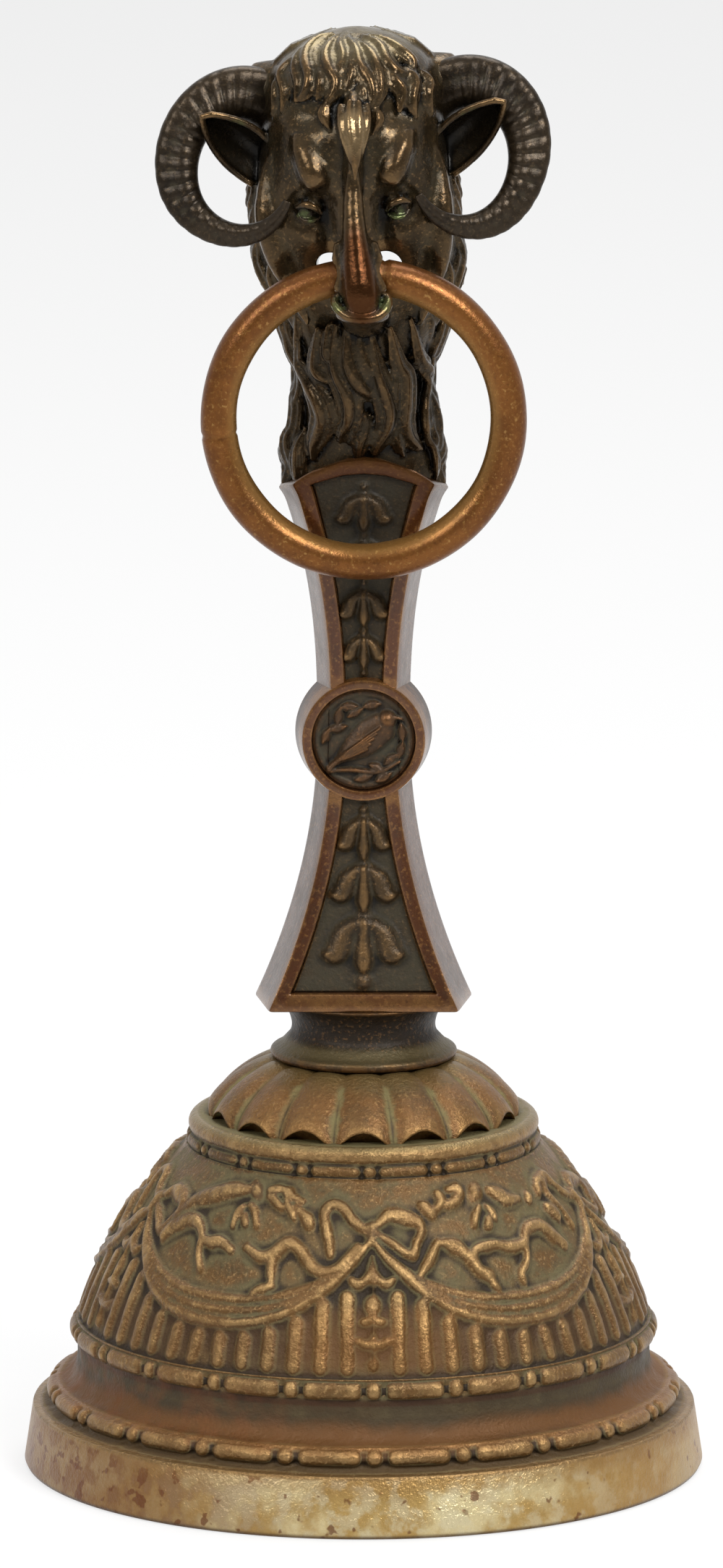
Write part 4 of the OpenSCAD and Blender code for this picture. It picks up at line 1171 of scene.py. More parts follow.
skull = wrapped_grid("ram_skull", skull_columns, skull_rows, place_skull)
nose_line = [(0, -9.6, 13, 0.7), (0, -10.6, 10.4, 0.85), (0, -11.1, 8, 1.0), (0, -11.8, 5, 1.25),
             (0, -12.4, 2, 1.6), (0, -12.95, -0.5, 1.85), (0, -13.0, -1.7, 1.9), (0, -12.8, -2.6, 1.5),
             (0, -12.6, -3, 0.9)]
tuft_line = [(0, -8.2, 17.2, 0.6), (0, -9.4, 15.8, 1.1), (0, -10.2, 14.3, 1.3), (0.05, -10.9, 12.6, 1.0),
             (0.1, -11.3, 10.8, 0.65), (0.1, -11.4, 9.4, 0.4)]
horn_seat = [(4.6, 0.6, 16.6, 2.2), (7.4, 1.2, 16.7, 2.5), (9.4, 1.6, 16.4, 2.45)]
jaw_line = [(0, -5, -4.3, 2.6), (0, -9, -4.0, 2.1), (0, -11.8, -3.5, 1.5)]
cheek_line = [(7.2, -4.6, 12, 0.6), (8.1, -5.0, 9, 0.8), (8.2, -5.8, 5, 1.3), (7.6, -6.0, 1, 1.2),
              (6.8, -5.8, -2, 0.6)]
brow_line = [(5.2, -7.9, 13.2, 0.8), (4.65, -8.6, 12, 1.3), (4.05, -9.05, 10.7, 1.55), (3.55, -9.5, 9.4, 1.5),
             (3.1, -9.8, 8.4, 1.0)]
nostril_side = [(1.7, -11.2, 3.5, 0.5), (2.0, -11.9, 0.6, 0.75), (2.1, -12.4, -1.2, 0.7)]
forms = [skull, ball((0, -11.9, -3.3), (2.75, 2.5, 1.15))]
forms.append(smooth_tubes("face_forms", [
    nose_line, tuft_line, jaw_line, *both_sides(cheek_line), *both_sides(brow_line),
    *both_sides(nostril_side), *both_sides(horn_seat)]))
for side in (-1, 1):
    forms.append(ball((side * 4.25, -8.2, 6.1), (1.15, 1.1, 1.0)))
head = melt(forms, voxel=0.36, rounds=13)

# Hair: each lock is a bundle of strands that follows the skull


def skull_frame(turn, h):
    """A point of the skull and the direction out of it."""
    p = on_skull(turn, h)
    along = on_skull(turn, h + 0.2) - p
    aside = on_skull(turn + 1.0, h) - p
    out = np.cross(aside, along)
    return p, out / np.linalg.norm(out)


three_strands = ((-0.82, 0.42, 0.3), (0.0, 0.6, 0.0), (0.82, 0.42, 0.3))
five_strands = ((-0.95, 0.3, 0.4), (-0.5, 0.36, 0.12), (0.0, 0.4, 0.0), (0.5, 0.36, 0.12), (0.95, 0.3, 0.4))


def lock(line, rise=0.45, bundle=three_strands):
    """The strands of one lock, from a line of turn, height and radius."""
    line = smooth_line(line, 4)
    frames = [skull_frame(turn, h) for turn, h, _ in line]
    points = np.array([p + (rise * r) * out for (p, out), (_, _, r) in zip(frames, line)])
    run = np.gradient(points, axis=0)
    strands = []
    for aside, thick, sink in bundle:
        strand = []
        for p, (_, out), (_, _, r), forward in zip(points, frames, line, run):
            side = np.cross(forward, out)
            side /= max(np.linalg.norm(side), 1e-9)
            x, y, z = p + side * aside * r - out * sink * r
            strand.append((x, y, z - nose_z, thick * r))
        strands.append(strand)
    return strands


def front_lock(line, radius):
    """A lock on the face side, from a line of x and height; it is thickest in its middle."""
    placed = []
    for i, (x, h) in enumerate(line):
        half_w = float(skull_at(h)[0])
        share = min(abs(x) / half_w, 0.995) ** (1 / oval_power)
        full = math.sin(math.pi * mix(0.03, 0.96, i / (len(line) - 1))) ** 0.7
        placed.append((math.copysign(math.degrees(math.asin(share)), x), h, radius * full))
    return lock(placed)


beard = [
    ([(-7.6, -4.4), (-7.2, -8.5), (-6.7, -11), (-6.7, -13.2), (-6.4, -15)], 1.0),
    ([(-6.0, -15.4), (-6.7, -17.3), (-7.0, -19.5), (-7.0, -21.4)], 1.0),
    ([(-6.3, -4.6), (-5.85, -9.2), (-5, -11), (-4.1, -12.7), (-3.65, -14.3), (-4, -15.8), (-4.6, -17.3),
      (-4.8, -18.9)], 1.25),
    ([(-5.4, -15.8), (-5.9, -17.7), (-6.1, -20), (-6.1, -22)], 0.85),
    ([(-4.3, -5.6), (-4.35, -9.2), (-3.7, -10.4), (-2.6, -10.9)], 1.05),
    ([(-3.3, -5.2), (-3.4, -8.1), (-2.9, -9.2)], 0.75),
    ([(-2.6, -5.2), (-2.8, -8.5), (-2.4, -10.1), (-1.65, -11.7), (-1.3, -13.2), (-1.45, -14.7),
      (-2, -15.8), (-2.2, -17)], 1.15),
    ([(-1.5, -5.2), (-1.4, -8.5), (-0.9, -10.1), (0, -11.5), (1.2, -12.6)], 1.25),
    ([(-0.6, -5.4), (-0.1, -8.3), (0.5, -9.6), (1, -10.8)], 0.8),
    ([(0.5, -5.4), (1.1, -8.9), (1.45, -10.6), (2, -12.4), (2.3, -13.9), (2.1, -15.4), (1.45, -16.9),
      (0.9, -18.2)], 1.15),
    ([(0.55, -14.2), (0.1, -15.8), (-0.35, -17.2), (-0.55, -18.9)], 0.75),
    ([(-0.7, -12.8), (-0.4, -14.3), (-0.8, -15.8), (-1.4, -17.2)], 0.75),
    ([(2.4, -5.4), (3.2, -9.1), (3.7, -10.5), (3.65, -12.8), (3.65, -15), (4.3, -16.7), (5.5, -18)], 1.2),
    ([(2.95, -12.6), (2.9, -15), (3.2, -16.9), (3.8, -18.6)], 0.75),
    ([(4.4, -4.8), (5.15, -8.5), (5.7, -10.6), (5.7, -12.8), (5.6, -15), (6.2, -17.3), (6.5, -19.5),
      (6.6, -21.4)], 1.1),
    ([(6.2, -4.4), (6.4, -9.2), (6.6, -11.3), (6.6, -12.8), (6.5, -14.7), (6.9, -17.3), (7, -19.5)], 0.95)]
crown_hair = [
    ([(-0.9, 21.9), (-1.9, 21.2), (-2.5, 20.3), (-2.3, 19.2), (-1.6, 18.1), (-1.9, 17), (-2.8, 15.9)], 0.9),
    ([(-0.7, 21.9), (-1.2, 21.1), (-0.95, 20.1), (-1.2, 18.9), (-1.5, 17.6)], 0.75),
    ([(-1.8, 21.8), (-3.3, 21.2), (-4.3, 20.1), (-4, 18.6), (-4.3, 17.3), (-5.2, 16.4)], 1.0),
    ([(-2.7, 21.4), (-4.4, 20.5), (-5.2, 19.3), (-5, 17.9), (-5.4, 16.2)], 0.9),
    ([(-4, 20.7), (-5.5, 19.6), (-6.5, 18.5), (-6.3, 17.2), (-6.7, 15.2)], 0.85),
    ([(-6.3, 18.6), (-7, 17.6), (-7.1, 16.4), (-7.6, 14.6)], 0.75),
    ([(-3.2, 19.8), (-3, 18.2), (-3.4, 16.4)], 0.75),
    ([(-0.5, 21.9), (0.1, 20.8), (0.6, 19.3), (1.5, 18), (1.8, 16.7), (1.4, 15.2)], 0.9),
    ([(-0.3, 21.2), (0, 19.8), (-0.3, 18.3), (-0.8, 16.6)], 0.75),
    ([(0.1, 21.5), (1.4, 20.4), (2.2, 19), (2.5, 17.3), (2.3, 15.8)], 0.9),
    ([(0.8, 21.7), (2.3, 20.8), (3, 19.5), (4.1, 18.5), (5.5, 18.2)], 0.9),
    ([(1.3, 21.7), (2.9, 21), (4.3, 20.1), (5.5, 19.1), (5.4, 18.3)], 0.85),
    ([(3.5, 19.3), (3.8, 18), (4.6, 16.7), (4.3, 15)], 0.8),
    ([(4.7, 19), (5.6, 17.7), (5.4, 16), (5.9, 14.2)], 0.85),
    ([(6.1, 18.5), (7, 17.2), (6.9, 16), (7.5, 14)], 0.75),
    ([(1.2, 18.6), (0.8, 17), (1.5, 15.4)], 0.62),
    ([(-2.3, 16.7), (-2.7, 15.4), (-2.2, 13.8)], 0.55),
    ([(2, 16), (2.3, 14.6), (1.7, 13)], 0.55)]
jaw_hair = [
    ([(-9.2, 3), (-9.4, 0.5), (-8.6, -2), (-7.6, -4.6)], 0.9),
    ([(-7.9, 1.5), (-8.2, -1), (-7.2, -3.4), (-6.6, -6)], 0.85),
    ([(9.2, 3), (9.4, 0.5), (8.5, -2), (7.7, -5)], 0.9),
    ([(7.9, 1.5), (8.1, -1), (7.3, -3.4), (6.7, -6)], 0.85),
    ([(-6.3, -0.6), (-6.2, -3), (-5.2, -5.6)], 0.7),
    ([(6.3, -0.6), (6.1, -3), (5.3, -5.6)], 0.7)]
locks = []
for line, radius in beard + crown_hair + jaw_hair:
    locks += front_lock(line, radius)

# Mane: a column of waved locks on each lobe round the sides and the back, each lapped by the one above
mane_tiers = ((21.2, 12), (14.5, 5), (8, -3), (0.5, -9.5), (-7, -16), (-13, -22.6))
mane_r = 1.35
mane_step = 2.6
horn_turn, horn_foot = 100, 9


def wave(turn, h):
    """Hair falls in waves, the same on both sides."""
    return turn - math.copysign(lock_turn(h) * min(abs(180 - abs(turn)) / 30, 1), turn)


for column in range(3, 10):
    turn = column * 360 / hair_locks
    turn = turn if turn <= 180 else turn - 360
    for tier, (top, bottom) in enumerate(mane_tiers):
        if abs(turn) < horn_turn and top > horn_foot:
            continue
        step_down = mane_step * (column % 2) * (0 < tier < len(mane_tiers) - 1)
        line = []
        for t in np.linspace(0, 1, 8):
            h = mix(top, bottom, t) - step_down
            line.append((wave(turn, h), h, mane_r * math.sin(math.pi * mix(0.06, 0.96, t)) ** 0.6))
        locks += lock(line, 0.05, five_strands)

# Under hair: single strands between the locks
under_strands = 52
strand_r, strand_end_r = 0.4, 0.12
for n in range(under_strands):
    turn = mix(92, 268, (n + 0.5) / under_strands)
    turn = turn if turn <= 180 else turn - 360
    heights = np.linspace(21.7, -23, 34)
    line = [skull_frame(wave(turn, h), h)[0] for h in heights]
    radii = [strand_end_r] + [strand_r] * (len(line) - 2) + [strand_end_r]
    locks.append([(x, y, z - nose_z, radius) for (x, y, z), radius in zip(line, radii)])

# Lids, lips and folds of the face
lid_line = [(3.0, -9.3, 5.8, 0.2), (3.6, -9.75, 6.55, 0.34), (4.5, -9.55, 6.85, 0.36), (5.4, -8.8, 6.5, 0.2)]
lower_lid = [(3.1, -9.1, 5.6, 0.15), (3.8, -9.3, 5.2, 0.22), (4.7, -9.0, 5.25, 0.22), (5.4, -8.6, 5.8, 0.15)]
eye_bag = [(3.0, -9.0, 4.8, 0.18), (3.9, -9.3, 4.15, 0.22), (5.1, -9.0, 4.3, 0.18)]
lip_line = [(2.5, -12.0, -1.5, 0.35), (2.4, -13.2, -2.4, 0.5), (1.4, -14.0, -3.25, 0.5),
            (0, -14.3, -3.5, 0.5)]
tuft_strands = [
    [(-1.15, -9.9, 16.3, 0.3), (-1.0, -11.0, 14.9, 0.55), (-0.7, -11.6, 13.4, 0.55),
     (-0.25, -12.0, 11.8, 0.42), (0.05, -12.2, 10.2, 0.15)],
    [(-0.3, -10.2, 16.7, 0.3), (-0.3, -11.4, 14.9, 0.55), (-0.1, -12.0, 13.3, 0.52),
     (0.1, -12.3, 11.5, 0.4), (0.2, -12.4, 9.4, 0.15)],
    [(0.5, -10.2, 16.6, 0.3), (0.5, -11.3, 14.9, 0.55), (0.5, -11.9, 13.2, 0.52),
     (0.4, -12.2, 11.6, 0.38), (0.3, -12.3, 9.9, 0.15)],
    [(1.3, -9.8, 16.2, 0.3), (1.25, -10.8, 14.8, 0.52), (1.05, -11.4, 13.4, 0.5),
     (0.75, -11.8, 12, 0.35), (0.5, -12.1, 10.6, 0.15)]]
details = smooth_tubes("face_lines", [
    *tuft_strands, *both_sides(lid_line), *both_sides(lower_lid), *both_sides(eye_bag),
    *both_sides(lip_line)])

# Ears: cupped leaves, open to the front
ear_root = np.array([8.6, -3.3, 9.4])
ear_along = np.array([0.66, -0.14, 0.74])
ear_open = np.array([0.12, -0.95, -0.28])
ear_l, ear_half_w = 8.1, 2.35
ear_cup, ear_t, ear_bend = 2.2, 0.75, 0.9
ear_rim_r = 0.34
ear_across, ear_rows = 32, 24


def place_ear(column, row, side):
    """Columns run round the leaf's section, hollow side first, and rows from its root to its tip."""
    t = np.clip((row - 1) / (ear_rows - 2), 0, 1)
    full = np.clip(np.sin(np.pi * mix(0.24, 0.985, t ** 1.1)), 0, 1) ** 0.8
    a = column * 2 * np.pi / ear_across
    s = np.cos(a)
    cup = ear_cup * full * (1 - s ** 2)
    back = cup * 1.15 + ear_t * full * np.abs(np.sin(a)) ** 0.5
    depth = np.where(np.sin(a) > 0, cup * 0.95 - 0.1, back)
    depth += 0.5 * full - ear_bend * t * t
    across = np.cross(ear_along, ear_open)
    across /= np.linalg.norm(across)
    out = np.cross(across, ear_along)
    ends = (row == 0) | (row == ear_rows)
    along = np.where(row == 0, -0.2, mix(-1.2, ear_l, t))
    s, depth = np.where(ends, 0, s), np.where(ends, 0.5 * full, depth)
    p = ear_root + along[:, None] * ear_along + (s * ear_half_w * full)[:, None] * across
    p = p - depth[:, None] * out
    return side * p[:, 0], p[:, 1], nose_z + p[:, 2]


def ear(side):
    return wrapped_grid("ram_ear", ear_across, ear_rows, lambda column, row: place_ear(column, row, side))


def ear_rim(side):
    """A thick rolled rim round the ear's hollow."""
    rows = np.array([*range(2, ear_rows), *range(ear_rows - 2, 1, -1)])
    columns = np.where(np.arange(len(rows)) < ear_rows - 2, 0, ear_across // 2)
    x, y, z = place_ear(columns, rows, side)
    return [(*p, ear_rim_r) for p in zip(x, y, z - nose_z)]


rims = tubes("ear_rims", [ear_rim(1), ear_rim(-1)])
head = melt([head, tubes("hair", locks), details, ear(1), ear(-1), rims], voxel=0.21, rounds=2)
head.name = head.data.name = "ram_head_cast"


# The way for the ring behind the nose, and a gap on each side of it that lets light through to the nape
def cutter(radius, length, at, rotation, scale=(1, 1, 1)):
    """A cylinder to cut with, by its middle in mm."""
    bpy.ops.object.select_all(action="DESELECT")
    bpy.ops.mesh.primitive_cylinder_add(vertices=48, radius=radius * MM, depth=length * MM,
                                        location=Vector(at) * MM, rotation=rotation, scale=scale)
    bpy.ops.object.transform_apply(location=True, rotation=True, scale=True)
    return bpy.context.object


def cut_away(piece, tool):
    add_modifier(piece, "BOOLEAN", operation="DIFFERENCE", object=tool, solver="EXACT")
    bpy.data.objects.remove(tool)


ring_way_l = 24
cut_away(head, cutter(hole_r, ring_way_l, (0, ring_y, nose_z), (0, math.pi / 2, 0)))
gap_slope = math.radians(9)
gap_run = 28
gap_x = 2.6
gap_half_w, gap_half_h = 1.5, 1.3
gap_y = ring_y + gap_run / 2 * math.cos(gap_slope)
gap_z = nose_z + 0.95 - gap_run / 2 * math.sin(gap_slope)
for side in (-1, 1):
    gap = cutter(1, gap_run, (side * gap_x, gap_y, gap_z), (-math.pi / 2 - gap_slope, 0, 0),
                 (gap_half_w, gap_half_h, 1))
    cut_away(head, gap)
bpy.ops.object.shade_smooth()
mark_relief(head, rounds=26, span=0.32)

head_lean = 1.0
head_roll = 0.05
lean_foot, lean_span = -6, 14


def lean(piece):
    """The cast leans a little to the left and stands higher on its right, more towards its crown."""
    points = points_of(piece)
    share = fade((points[:, 2] / MM - nose_z - lean_foot) / lean_span)
    points[:, 2] += head_roll * share * points[:, 0]
    points[:, 0] -= head_lean * MM * share
    piece.data.vertices.foreach_set("co", points.ravel())
    piece.data.update()


def mark_places(piece, **masks):
    """Stores a mask from 0 to 1 for each name, from places given as centre and radii over the nose's bar."""
    points = points_of(piece) / MM - (0, 0, nose_z)
    for name, places in masks.items():
        share = np.zeros(len(points))
        for centre, radii in places:
            off = (((points - centre) / radii) ** 2).sum(axis=1)
            share = np.maximum(share, np.clip(1.6 - 1.6 * off, 0, 1))
        store_mark(piece, name, share)


def pair(x, y, h, radii, shift=0):
    """The same place on both sides of the face."""
    return [((side * x + shift, y, h), radii) for side in (-1, 1)]


eye_places = pair(4.25, -9.3, 5.5, (1.1, 1.2, 0.9), -0.4)
lip_places = pair(2.3, -13.2, -2.4, (1.0, 1.3, 1.0))
ear_places = pair(11.2, -4.6, 12.6, (1.6, 1.6, 2.2))
ear_hollows = pair(11.3, -2.8, 12.4, (4.4, 3.8, 5))
nape_gaps = pair(2.5, 8.6, -2.6, (2.4, 3, 2.6))
eye_sockets = pair(4.25, -9.3, 5.5, (2.2, 1.8, 1.8), -0.4)
# Places for the finish: green patches, the rubbed nose, the tuft with its painted highlight, painted shade in
# hollows and gaps, and crown powder with a painted sheen
mark_places(head, verdigris=eye_places + lip_places + ear_places,
            rubbed=[((0, -14.4, 1), (1.9, 2.6, 7.5)), ((0, -14.5, -1.5), (2.2, 1.6, 2))],
            polished=[((0, -11.8, 13.8), (1.9, 1.6, 2.8))],
            shaded=ear_hollows + nape_gaps + eye_sockets,
            powdery=[((0, -2.5, 22.5), (9, 7, 4.5))])
lean(head)

ram_bronze, tree, shader, aged = bronze(
    "ram_bronze", body=(64, 51, 33), deep=(10, 8, 5), worn_and_highlight=(126, 98, 64),
    dust=(66, 60, 41), wear_and_highlight=0.55, dusting=0.25, roughness=0.21, metal=0.72)

# The nose is rubbed red brown, the tuft is polished and carries a painted highlight, the crown is powdery
# with a painted sheen from above, painted shade darkens the ear hollows, the nape gaps, the eye sockets and
# the beard, and green sits by eyes, lips and ears
coords, place = object_place(tree)
patchy = ramp(noise(coords, 900, 4), 0.36, 0.62)
rubbed = mask_of(tree, "rubbed")
skin = tint(rubbed, 0.8, aged.outputs["Color"], (66, 34, 10))
tree.links.new(maths("MAXIMUM", aged.outputs["Metallic"], times(rubbed, 0.85)), shader.inputs["Metallic"])
# Powder on the crown, with a painted sheen from the light above
skin = tint(mask_of(tree, "powdery"), plus(times(patchy, 0.4), 0.35), skin, (112, 100, 72))
# Painted shade in the ear hollows, the gaps at the nape and the eye sockets
skin = tint(mask_of(tree, "shaded"), 0.75, skin, (15, 12, 8))
# A painted highlight on the polished tuft
skin = tint(mask_of(tree, "polished"), 0.45, skin, (158, 134, 98))
# Painted shade over the beard below the chin
skin = tint(ramp(place["Z"], nose_z - 4, nose_z - 8), 0.3, skin, (22, 16, 10))
skin = tint(mask_of(tree, "verdigris"), times(patchy, 0.5), skin, (96, 108, 66))
tree.links.new(skin, shader.inputs["Base Color"])
finish_piece(head, "bell", "dark_bronze", ram_bronze, "ram_head")

# Horns: cast on their own and pinned to the head, each a flat curl with growth ridges across its front.
# The outer rim is smooth and rubbed, and the tip lies on the cheek.

curl_x, curl_h = 11.1, 9.9
curl_rx, curl_rz = 5.5, 6.3
curl_start, curl_end = 152, -154
horn_root_t, horn_tip_t = 5.6, 0.8
horn_root_y, horn_tip_y = 1.4, -8.7
horn_flat = 0.92
ridge_swell = 0.02
ridge_groove, ridge_groove_w = 0.08, 0.2
rim_swell, dish_depth = 0.1, 0.2
horn_ridges = 27
ridge_rows = 7
horn_columns = 36


def round_off(b, at, width):
    """A soft swell round the section, 1 at an angle in radians."""
    return np.exp(-(np.angle(np.exp(1j * (b - at))) / width) ** 2)


def place_horn(column, row, side):
    """Columns run round the section, and rows from the root to the tip."""
    rows = horn_ridges * ridge_rows
    t = np.clip((row - 1) / (rows - 2), 0, 1)
    a = np.radians(mix(curl_start, curl_end, t))
    y = mix(horn_root_y, horn_tip_y, t ** 1.3)
    thick = mix(horn_root_t, horn_tip_t, t ** 1.6) / 2
    b = column * 2 * np.pi / horn_columns
    front = np.clip(-np.sin(b), 0, 1)
    beat = (t * horn_ridges) % 1
    groove = ridge_groove * np.exp(-((beat - 0.5) / ridge_groove_w) ** 2)
    ridge = (ridge_swell - groove) * np.clip(1.4 * front ** 1.2, 0, 1)
    ridge *= np.clip((1 - t) * 12, 0, 1) * np.clip((t - 0.12) * 8, 0, 1)
    rim = rim_swell * round_off(b, -0.45, 0.3)
    dish = -dish_depth * round_off(b, -1.25, 0.5)
    r = thick * (1 + ridge + rim + dish)
    ends = (row == 0) | (row == rows)
    r = np.where(ends, 0, r)
    across, depth = r * np.cos(b), horn_flat * r * np.sin(b)
    return (side * (curl_x + (curl_rx + across) * np.cos(a)), y + depth,
            nose_z + curl_h + (curl_rz + across) * np.sin(a))


horn_bronze = bronze(
    "horn_bronze", body=(47, 38, 27), deep=(14, 11, 8), worn_and_highlight=(80, 65, 46),
    dust=(66, 59, 41), wear_and_highlight=0.12, dusting=0.3, roughness=0.32, metal=0.6)[0]
for name, side in (("left", -1), ("right", 1)):
    horn = wrapped_grid(name + "_horn_curl", horn_columns, horn_ridges * ridge_rows,
                        lambda column, row: place_horn(column, row, side))
    mark_relief(horn, rounds=8, span=0.2)
    lean(horn)
    finish_piece(horn, "bell", "dark_bronze", horn_bronze, name + "_horn")

# Nose ring: a ring of round rod, bent and butted, that hangs free behind the ram's nose.
# It is rubbed golden brown, and its closed seam and a scar from the file still show.

ring_r = (ring_high[0] - ring_low[0] - ring_wire) / 2
ring_centre = (ring_low + ring_high) / 2
wire_worn = 0.02

# Seam and scar: turn from the ring's top in degrees, depth as a share of the wire, and width in degrees
ring_scars = ((7.5, 0.13, 0.7), (-96, 0.07, 0.8))

bpy.ops.object.select_all(action="DESELECT")
bpy.ops.mesh.primitive_torus_add(major_segments=240, minor_segments=36, major_radius=ring_r * MM,
                                 minor_radius=ring_wire / 2 * MM, location=Vector(ring_centre * MM),
                                 rotation=(math.pi / 2, 0, 0))
ring = bpy.context.object
ring.name = ring.data.name = "pull_ring"
bpy.ops.object.transform_apply(location=True, rotation=True, scale=True)
for vertex in ring.data.vertices:
    p = np.array(vertex.co) / MM - ring_centre
    turn = math.degrees(math.atan2(p[0], p[2]))
    core = ring_r * np.array([math.sin(math.radians(turn)), 0, math.cos(math.radians(turn))])
    groove = sum(depth * math.exp(-((turn - at) / width) ** 2) for at, depth, width in ring_scars)
    uneven = 0.012 * math.sin(math.radians(5 * turn)) + 0.01 * math.sin(math.radians(11 * turn + 40))
    vertex.co = Vector((core + (p - core) * (1 - groove + uneven - wire_worn) + ring_centre) * MM)
bpy.ops.object.shade_smooth()
mark_relief(ring, rounds=3, span=0.2)
ring_bronze, tree, shader, aged = bronze(
    "ring_bronze", body=(114, 71, 30), deep=(80, 45, 17), worn_and_highlight=(146, 106, 54),
    dust=(122, 90, 44), wear_and_highlight=0.3, dusting=0.2, roughness=0.3, metal=0.6)
coords, place = object_place(tree)
flecks = noise(coords, 2200, 3, 0.5)
skin = tint(ramp(flecks, 0.62, 0.72), 0.4, aged.outputs["Color"], (176, 138, 80))
skin = tint(ramp(flecks, 0.4, 0.3), 0.4, skin, (70, 40, 16))
# Painted light: the inner side of the ring is painted lighter as a highlight and the outer side darker as
# shade
over_middle = less(place["Z"], ring_centre[2])
from_middle = maths("SQRT", plus(times(place["X"], place["X"]), times(over_middle, over_middle)))
skin = tint(ramp(from_middle, ring_r - 0.4, ring_r - 1.5), 0.4, skin, (158, 122, 66))
skin = tint(ramp(from_middle, ring_r + 0.3, ring_r + 1.6), 0.4, skin, (92, 52, 24))
tree.links.new(skin, shader.inputs["Base Color"])
finish_piece(ring, "ring", "ring_bronze", ring_bronze, "nose_ring")

# Fixings: an eye bolt clamps cup, cap and spool to the shaft, with a brass washer and nut inside the crown.
# A stud holds the head, and a pin each horn. Bolt, stud and pins are plain steel and shown as their solids.

plain_steel = bronze(
    "plain_steel", body=(112, 108, 102), deep=(62, 54, 46), worn_and_highlight=(158, 154, 148),
    dust=(104, 92, 76), wear_and_highlight=0.4, dusting=0.3, roughness=0.38, metal=0.9)[0]
plain_brass = bronze(
    "plain_brass", body=(150, 118, 66), deep=(84, 62, 30), worn_and_highlight=(190, 156, 98),
    dust=(112, 96, 60), wear_and_highlight=0.5, dusting=0.5, roughness=0.4, metal=0.8)[0]
for name in ("eye_bolt", "head_stud", "horn_pins"):
    coat(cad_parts[name], plain_steel)

washer_low, washer_high = node_box("crown_washer")
washer_t = washer_high[2] - washer_low[2]
washer_edge = arc((washer_high[0] - washer_t / 2, washer_t / 2), washer_t / 2, -90, 90, 9)
washer_profile = [(bolt_hole_r, 0), *washer_edge, (bolt_hole_r, washer_t), (bolt_hole_r, 0)]
washer = turned("crown_disc", washer_profile, 96, washer_low[2])
mark_relief(washer, rounds=4, span=0.1)
finish_piece(washer, "bell", "plain_brass", plain_brass, "crown_washer")

nut_low, nut_high = node_box("crown_nut")
nut_r, nut_h = nut_high[0], nut_high[2] - nut_low[2]
nut_z = nut_low[2] + nut_h / 2
nut_chamfer, nut_chamfer_w = 0.35, 0.65
bolt_r = 2.5
bpy.ops.object.select_all(action="DESELECT")
bpy.ops.mesh.primitive_cylinder_add(vertices=6, radius=nut_r * MM, depth=nut_h * MM,
                                    rotation=(0, 0, math.pi / 6), location=(0, 0, nut_z * MM))
nut = bpy.context.object
nut.name = nut.data.name = "crown_hex"
bpy.ops.object.transform_apply(location=True, rotation=True, scale=True)
nut_top_r = nut_r - nut_chamfer_w
barrel_profile = [(0, 0), (nut_top_r, 0), (nut_r, nut_chamfer), (nut_r, nut_h - nut_chamfer),
                  (nut_top_r, nut_h), (0, nut_h)]
barrel = turned("nut_barrel", barrel_profile, 96, nut_low[2])
add_modifier(nut, "BOOLEAN", operation="INTERSECT", object=barrel, solver="EXACT")
bpy.data.objects.remove(barrel)
cut_away(nut, cutter(bolt_r, 3 * nut_h, (0, 0, nut_z), (0, 0, 0)))
bpy.ops.object.shade_smooth_by_angle(angle=math.radians(30))
finish_piece(nut, "bell", "plain_brass", plain_brass, "crown_nut")

# Clapper: a steel wire bent to an eye round the bolt's bar, with a turned brass ball on its foot.
# It swings from side to side inside the cup.

rod_low, rod_high = node_box("clapper_rod")
ball_low, ball_high = node_box("clapper_ball")
rod_r = 1.0
eye_wire_r = (rod_high[1] - rod_low[1]) / 2
eye_out_r = rod_high[0]
eye_r = eye_out_r - eye_wire_r
eye_z = rod_high[2] - eye_out_r
neck_z = eye_z - eye_r - 1.9
wire = [(0, rod_low[2], rod_r), (0, neck_z - 2, rod_r), (0, neck_z, 0.95), (0.08, neck_z + 0.8, 0.88),
        (0.5, neck_z + 1.5, 0.82)]
wire += [(x, z, eye_wire_r) for x, z in arc((0, eye_z), eye_r, -58, 252, 40)]
rod = tubes("clapper_wire", [[(x, 0, z - nose_z, r) for x, z, r in wire]])
bpy.ops.object.shade_smooth_by_angle(angle=math.radians(40))
finish_piece(rod, "clapper", "steel", plain_steel, "clapper_rod")

ball_r = (ball_high[2] - ball_low[2]) / 2
sphere_r = ball_high[0]
flat_turn = math.degrees(math.acos(rod_r / sphere_r)) - 1.5
ball_profile = [(rod_r, ball_r - sphere_r * math.sin(math.radians(flat_turn)))]
ball_profile += arc((0, ball_r), sphere_r, -flat_turn, flat_turn, 41)
ball_profile += [(rod_r, ball_profile[-1][1]), ball_profile[0]]
strike_ball = turned("clapper_drop", ball_profile, 96, ball_low[2])
mark_relief(strike_ball, rounds=4, span=0.1)
finish_piece(strike_ball, "clapper", "plain_brass", plain_brass, "clapper_ball")

# Studio: a pale paper floor in a white room, lit by soft boxes on both sides and above.
# The camera stands where the photograph was taken from.

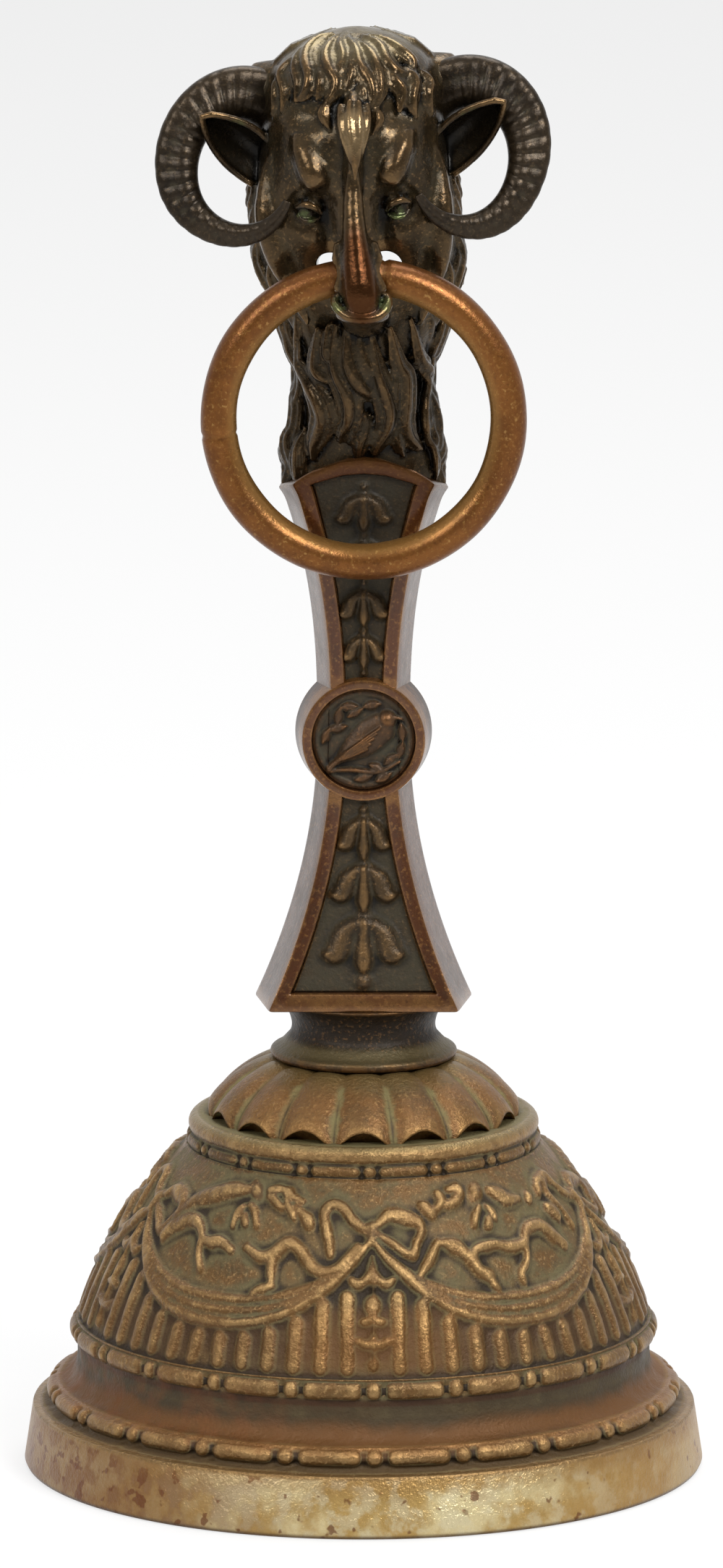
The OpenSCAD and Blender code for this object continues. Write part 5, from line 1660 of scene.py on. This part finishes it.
floor_r = 3
bpy.ops.object.select_all(action="DESELECT")
bpy.ops.mesh.primitive_circle_add(vertices=96, radius=floor_r, fill_type="NGON")
floor = bpy.context.object
floor.name = "floor"
paper = bpy.data.materials.new("white_paper")
paper.use_nodes = True
tree = paper.node_tree
tree.nodes.clear()
light_path = tree.nodes.new("ShaderNodeLightPath").outputs
mirrored = maths("MAXIMUM", light_path["Is Glossy Ray"], light_path["Is Transmission Ray"])
seen = maths("MAXIMUM", light_path["Is Camera Ray"], mirrored)
matt = add_node(tree, "ShaderNodeBsdfDiffuse", {"Color": (0.86, 0.86, 0.86, 1)}).outputs[0]
glow = add_node(tree, "ShaderNodeEmission", {"Color": (0.95, 0.95, 0.95, 1), "Strength": 1.0}).outputs[0]
both = add_node(tree, "ShaderNodeMixShader", {0: times(seen, 0.75), 1: matt, 2: glow}).outputs[0]
add_node(tree, "ShaderNodeOutputMaterial", {"Surface": both})
floor.data.materials.append(paper)

room = bpy.data.worlds.new("white_room")
bpy.context.scene.world = room
room.use_nodes = True
tree = room.node_tree
tree.nodes.clear()
light_path = tree.nodes.new("ShaderNodeLightPath").outputs
outward_way = tree.nodes.new("ShaderNodeTexCoord").outputs["Generated"]
way = add_node(tree, "ShaderNodeSeparateXYZ", {"Vector": outward_way}).outputs
behind = ramp(way["Y"], -0.75, 0.35)
above = ramp(way["Z"], 0.35, 0.95)
paper_side = plus(times(maths("MAXIMUM", behind, above), 0.7), 0.28)
room_light = plus(0.48, times(light_path["Is Glossy Ray"], 0.52))
strength = maths("MAXIMUM", light_path["Is Camera Ray"], times(paper_side, room_light))
sky = add_node(tree, "ShaderNodeBackground", {"Color": (0.96, 0.96, 0.96, 1), "Strength": strength})
add_node(tree, "ShaderNodeOutputWorld", {"Surface": sky.outputs[0]})

bell_middle = Vector((0, 0, 0.07))


def soft_box(name, azimuth, elevation, distance, size, power):
    """An area lamp that faces the bell from an azimuth (0 in front, 90 on the right) and elevation."""
    a, e = math.radians(azimuth), math.radians(elevation)
    place = Vector((math.sin(a) * math.cos(e), -math.cos(a) * math.cos(e), math.sin(e))) * distance
    bpy.ops.object.light_add(type="AREA", location=place + bell_middle)
    lamp = bpy.context.object
    lamp.name = name
    lamp.data.size = size
    lamp.data.energy = power
    lamp.rotation_euler = place.to_track_quat("Z", "Y").to_euler()


soft_box("soft_box_right", azimuth=36, elevation=40, distance=0.8, size=0.3, power=5.1)
soft_box("soft_box_left", azimuth=-42, elevation=34, distance=0.9, size=0.35, power=3.2)
soft_box("soft_box_above", azimuth=165, elevation=70, distance=0.8, size=0.5, power=5.0)

elevation = math.radians(11.5)
distance = 1.55
pixels_per_mm = 14.53
picture_h = 2168
sensor_h = 36
look_at = Vector((-0.0002, 0, 0.066))
stand = distance * Vector((0, -math.cos(elevation), math.sin(elevation)))
bpy.ops.object.camera_add(location=look_at + stand, rotation=(math.pi / 2 - elevation, 0, 0))
camera = bpy.context.object
camera.data.sensor_fit = "VERTICAL"
camera.data.sensor_height = sensor_h
camera.data.lens = sensor_h * distance / (picture_h / pixels_per_mm * MM)
camera.data.clip_start = 0.05
bpy.context.scene.camera = camera
bpy.context.scene.view_settings.view_transform = "Standard"
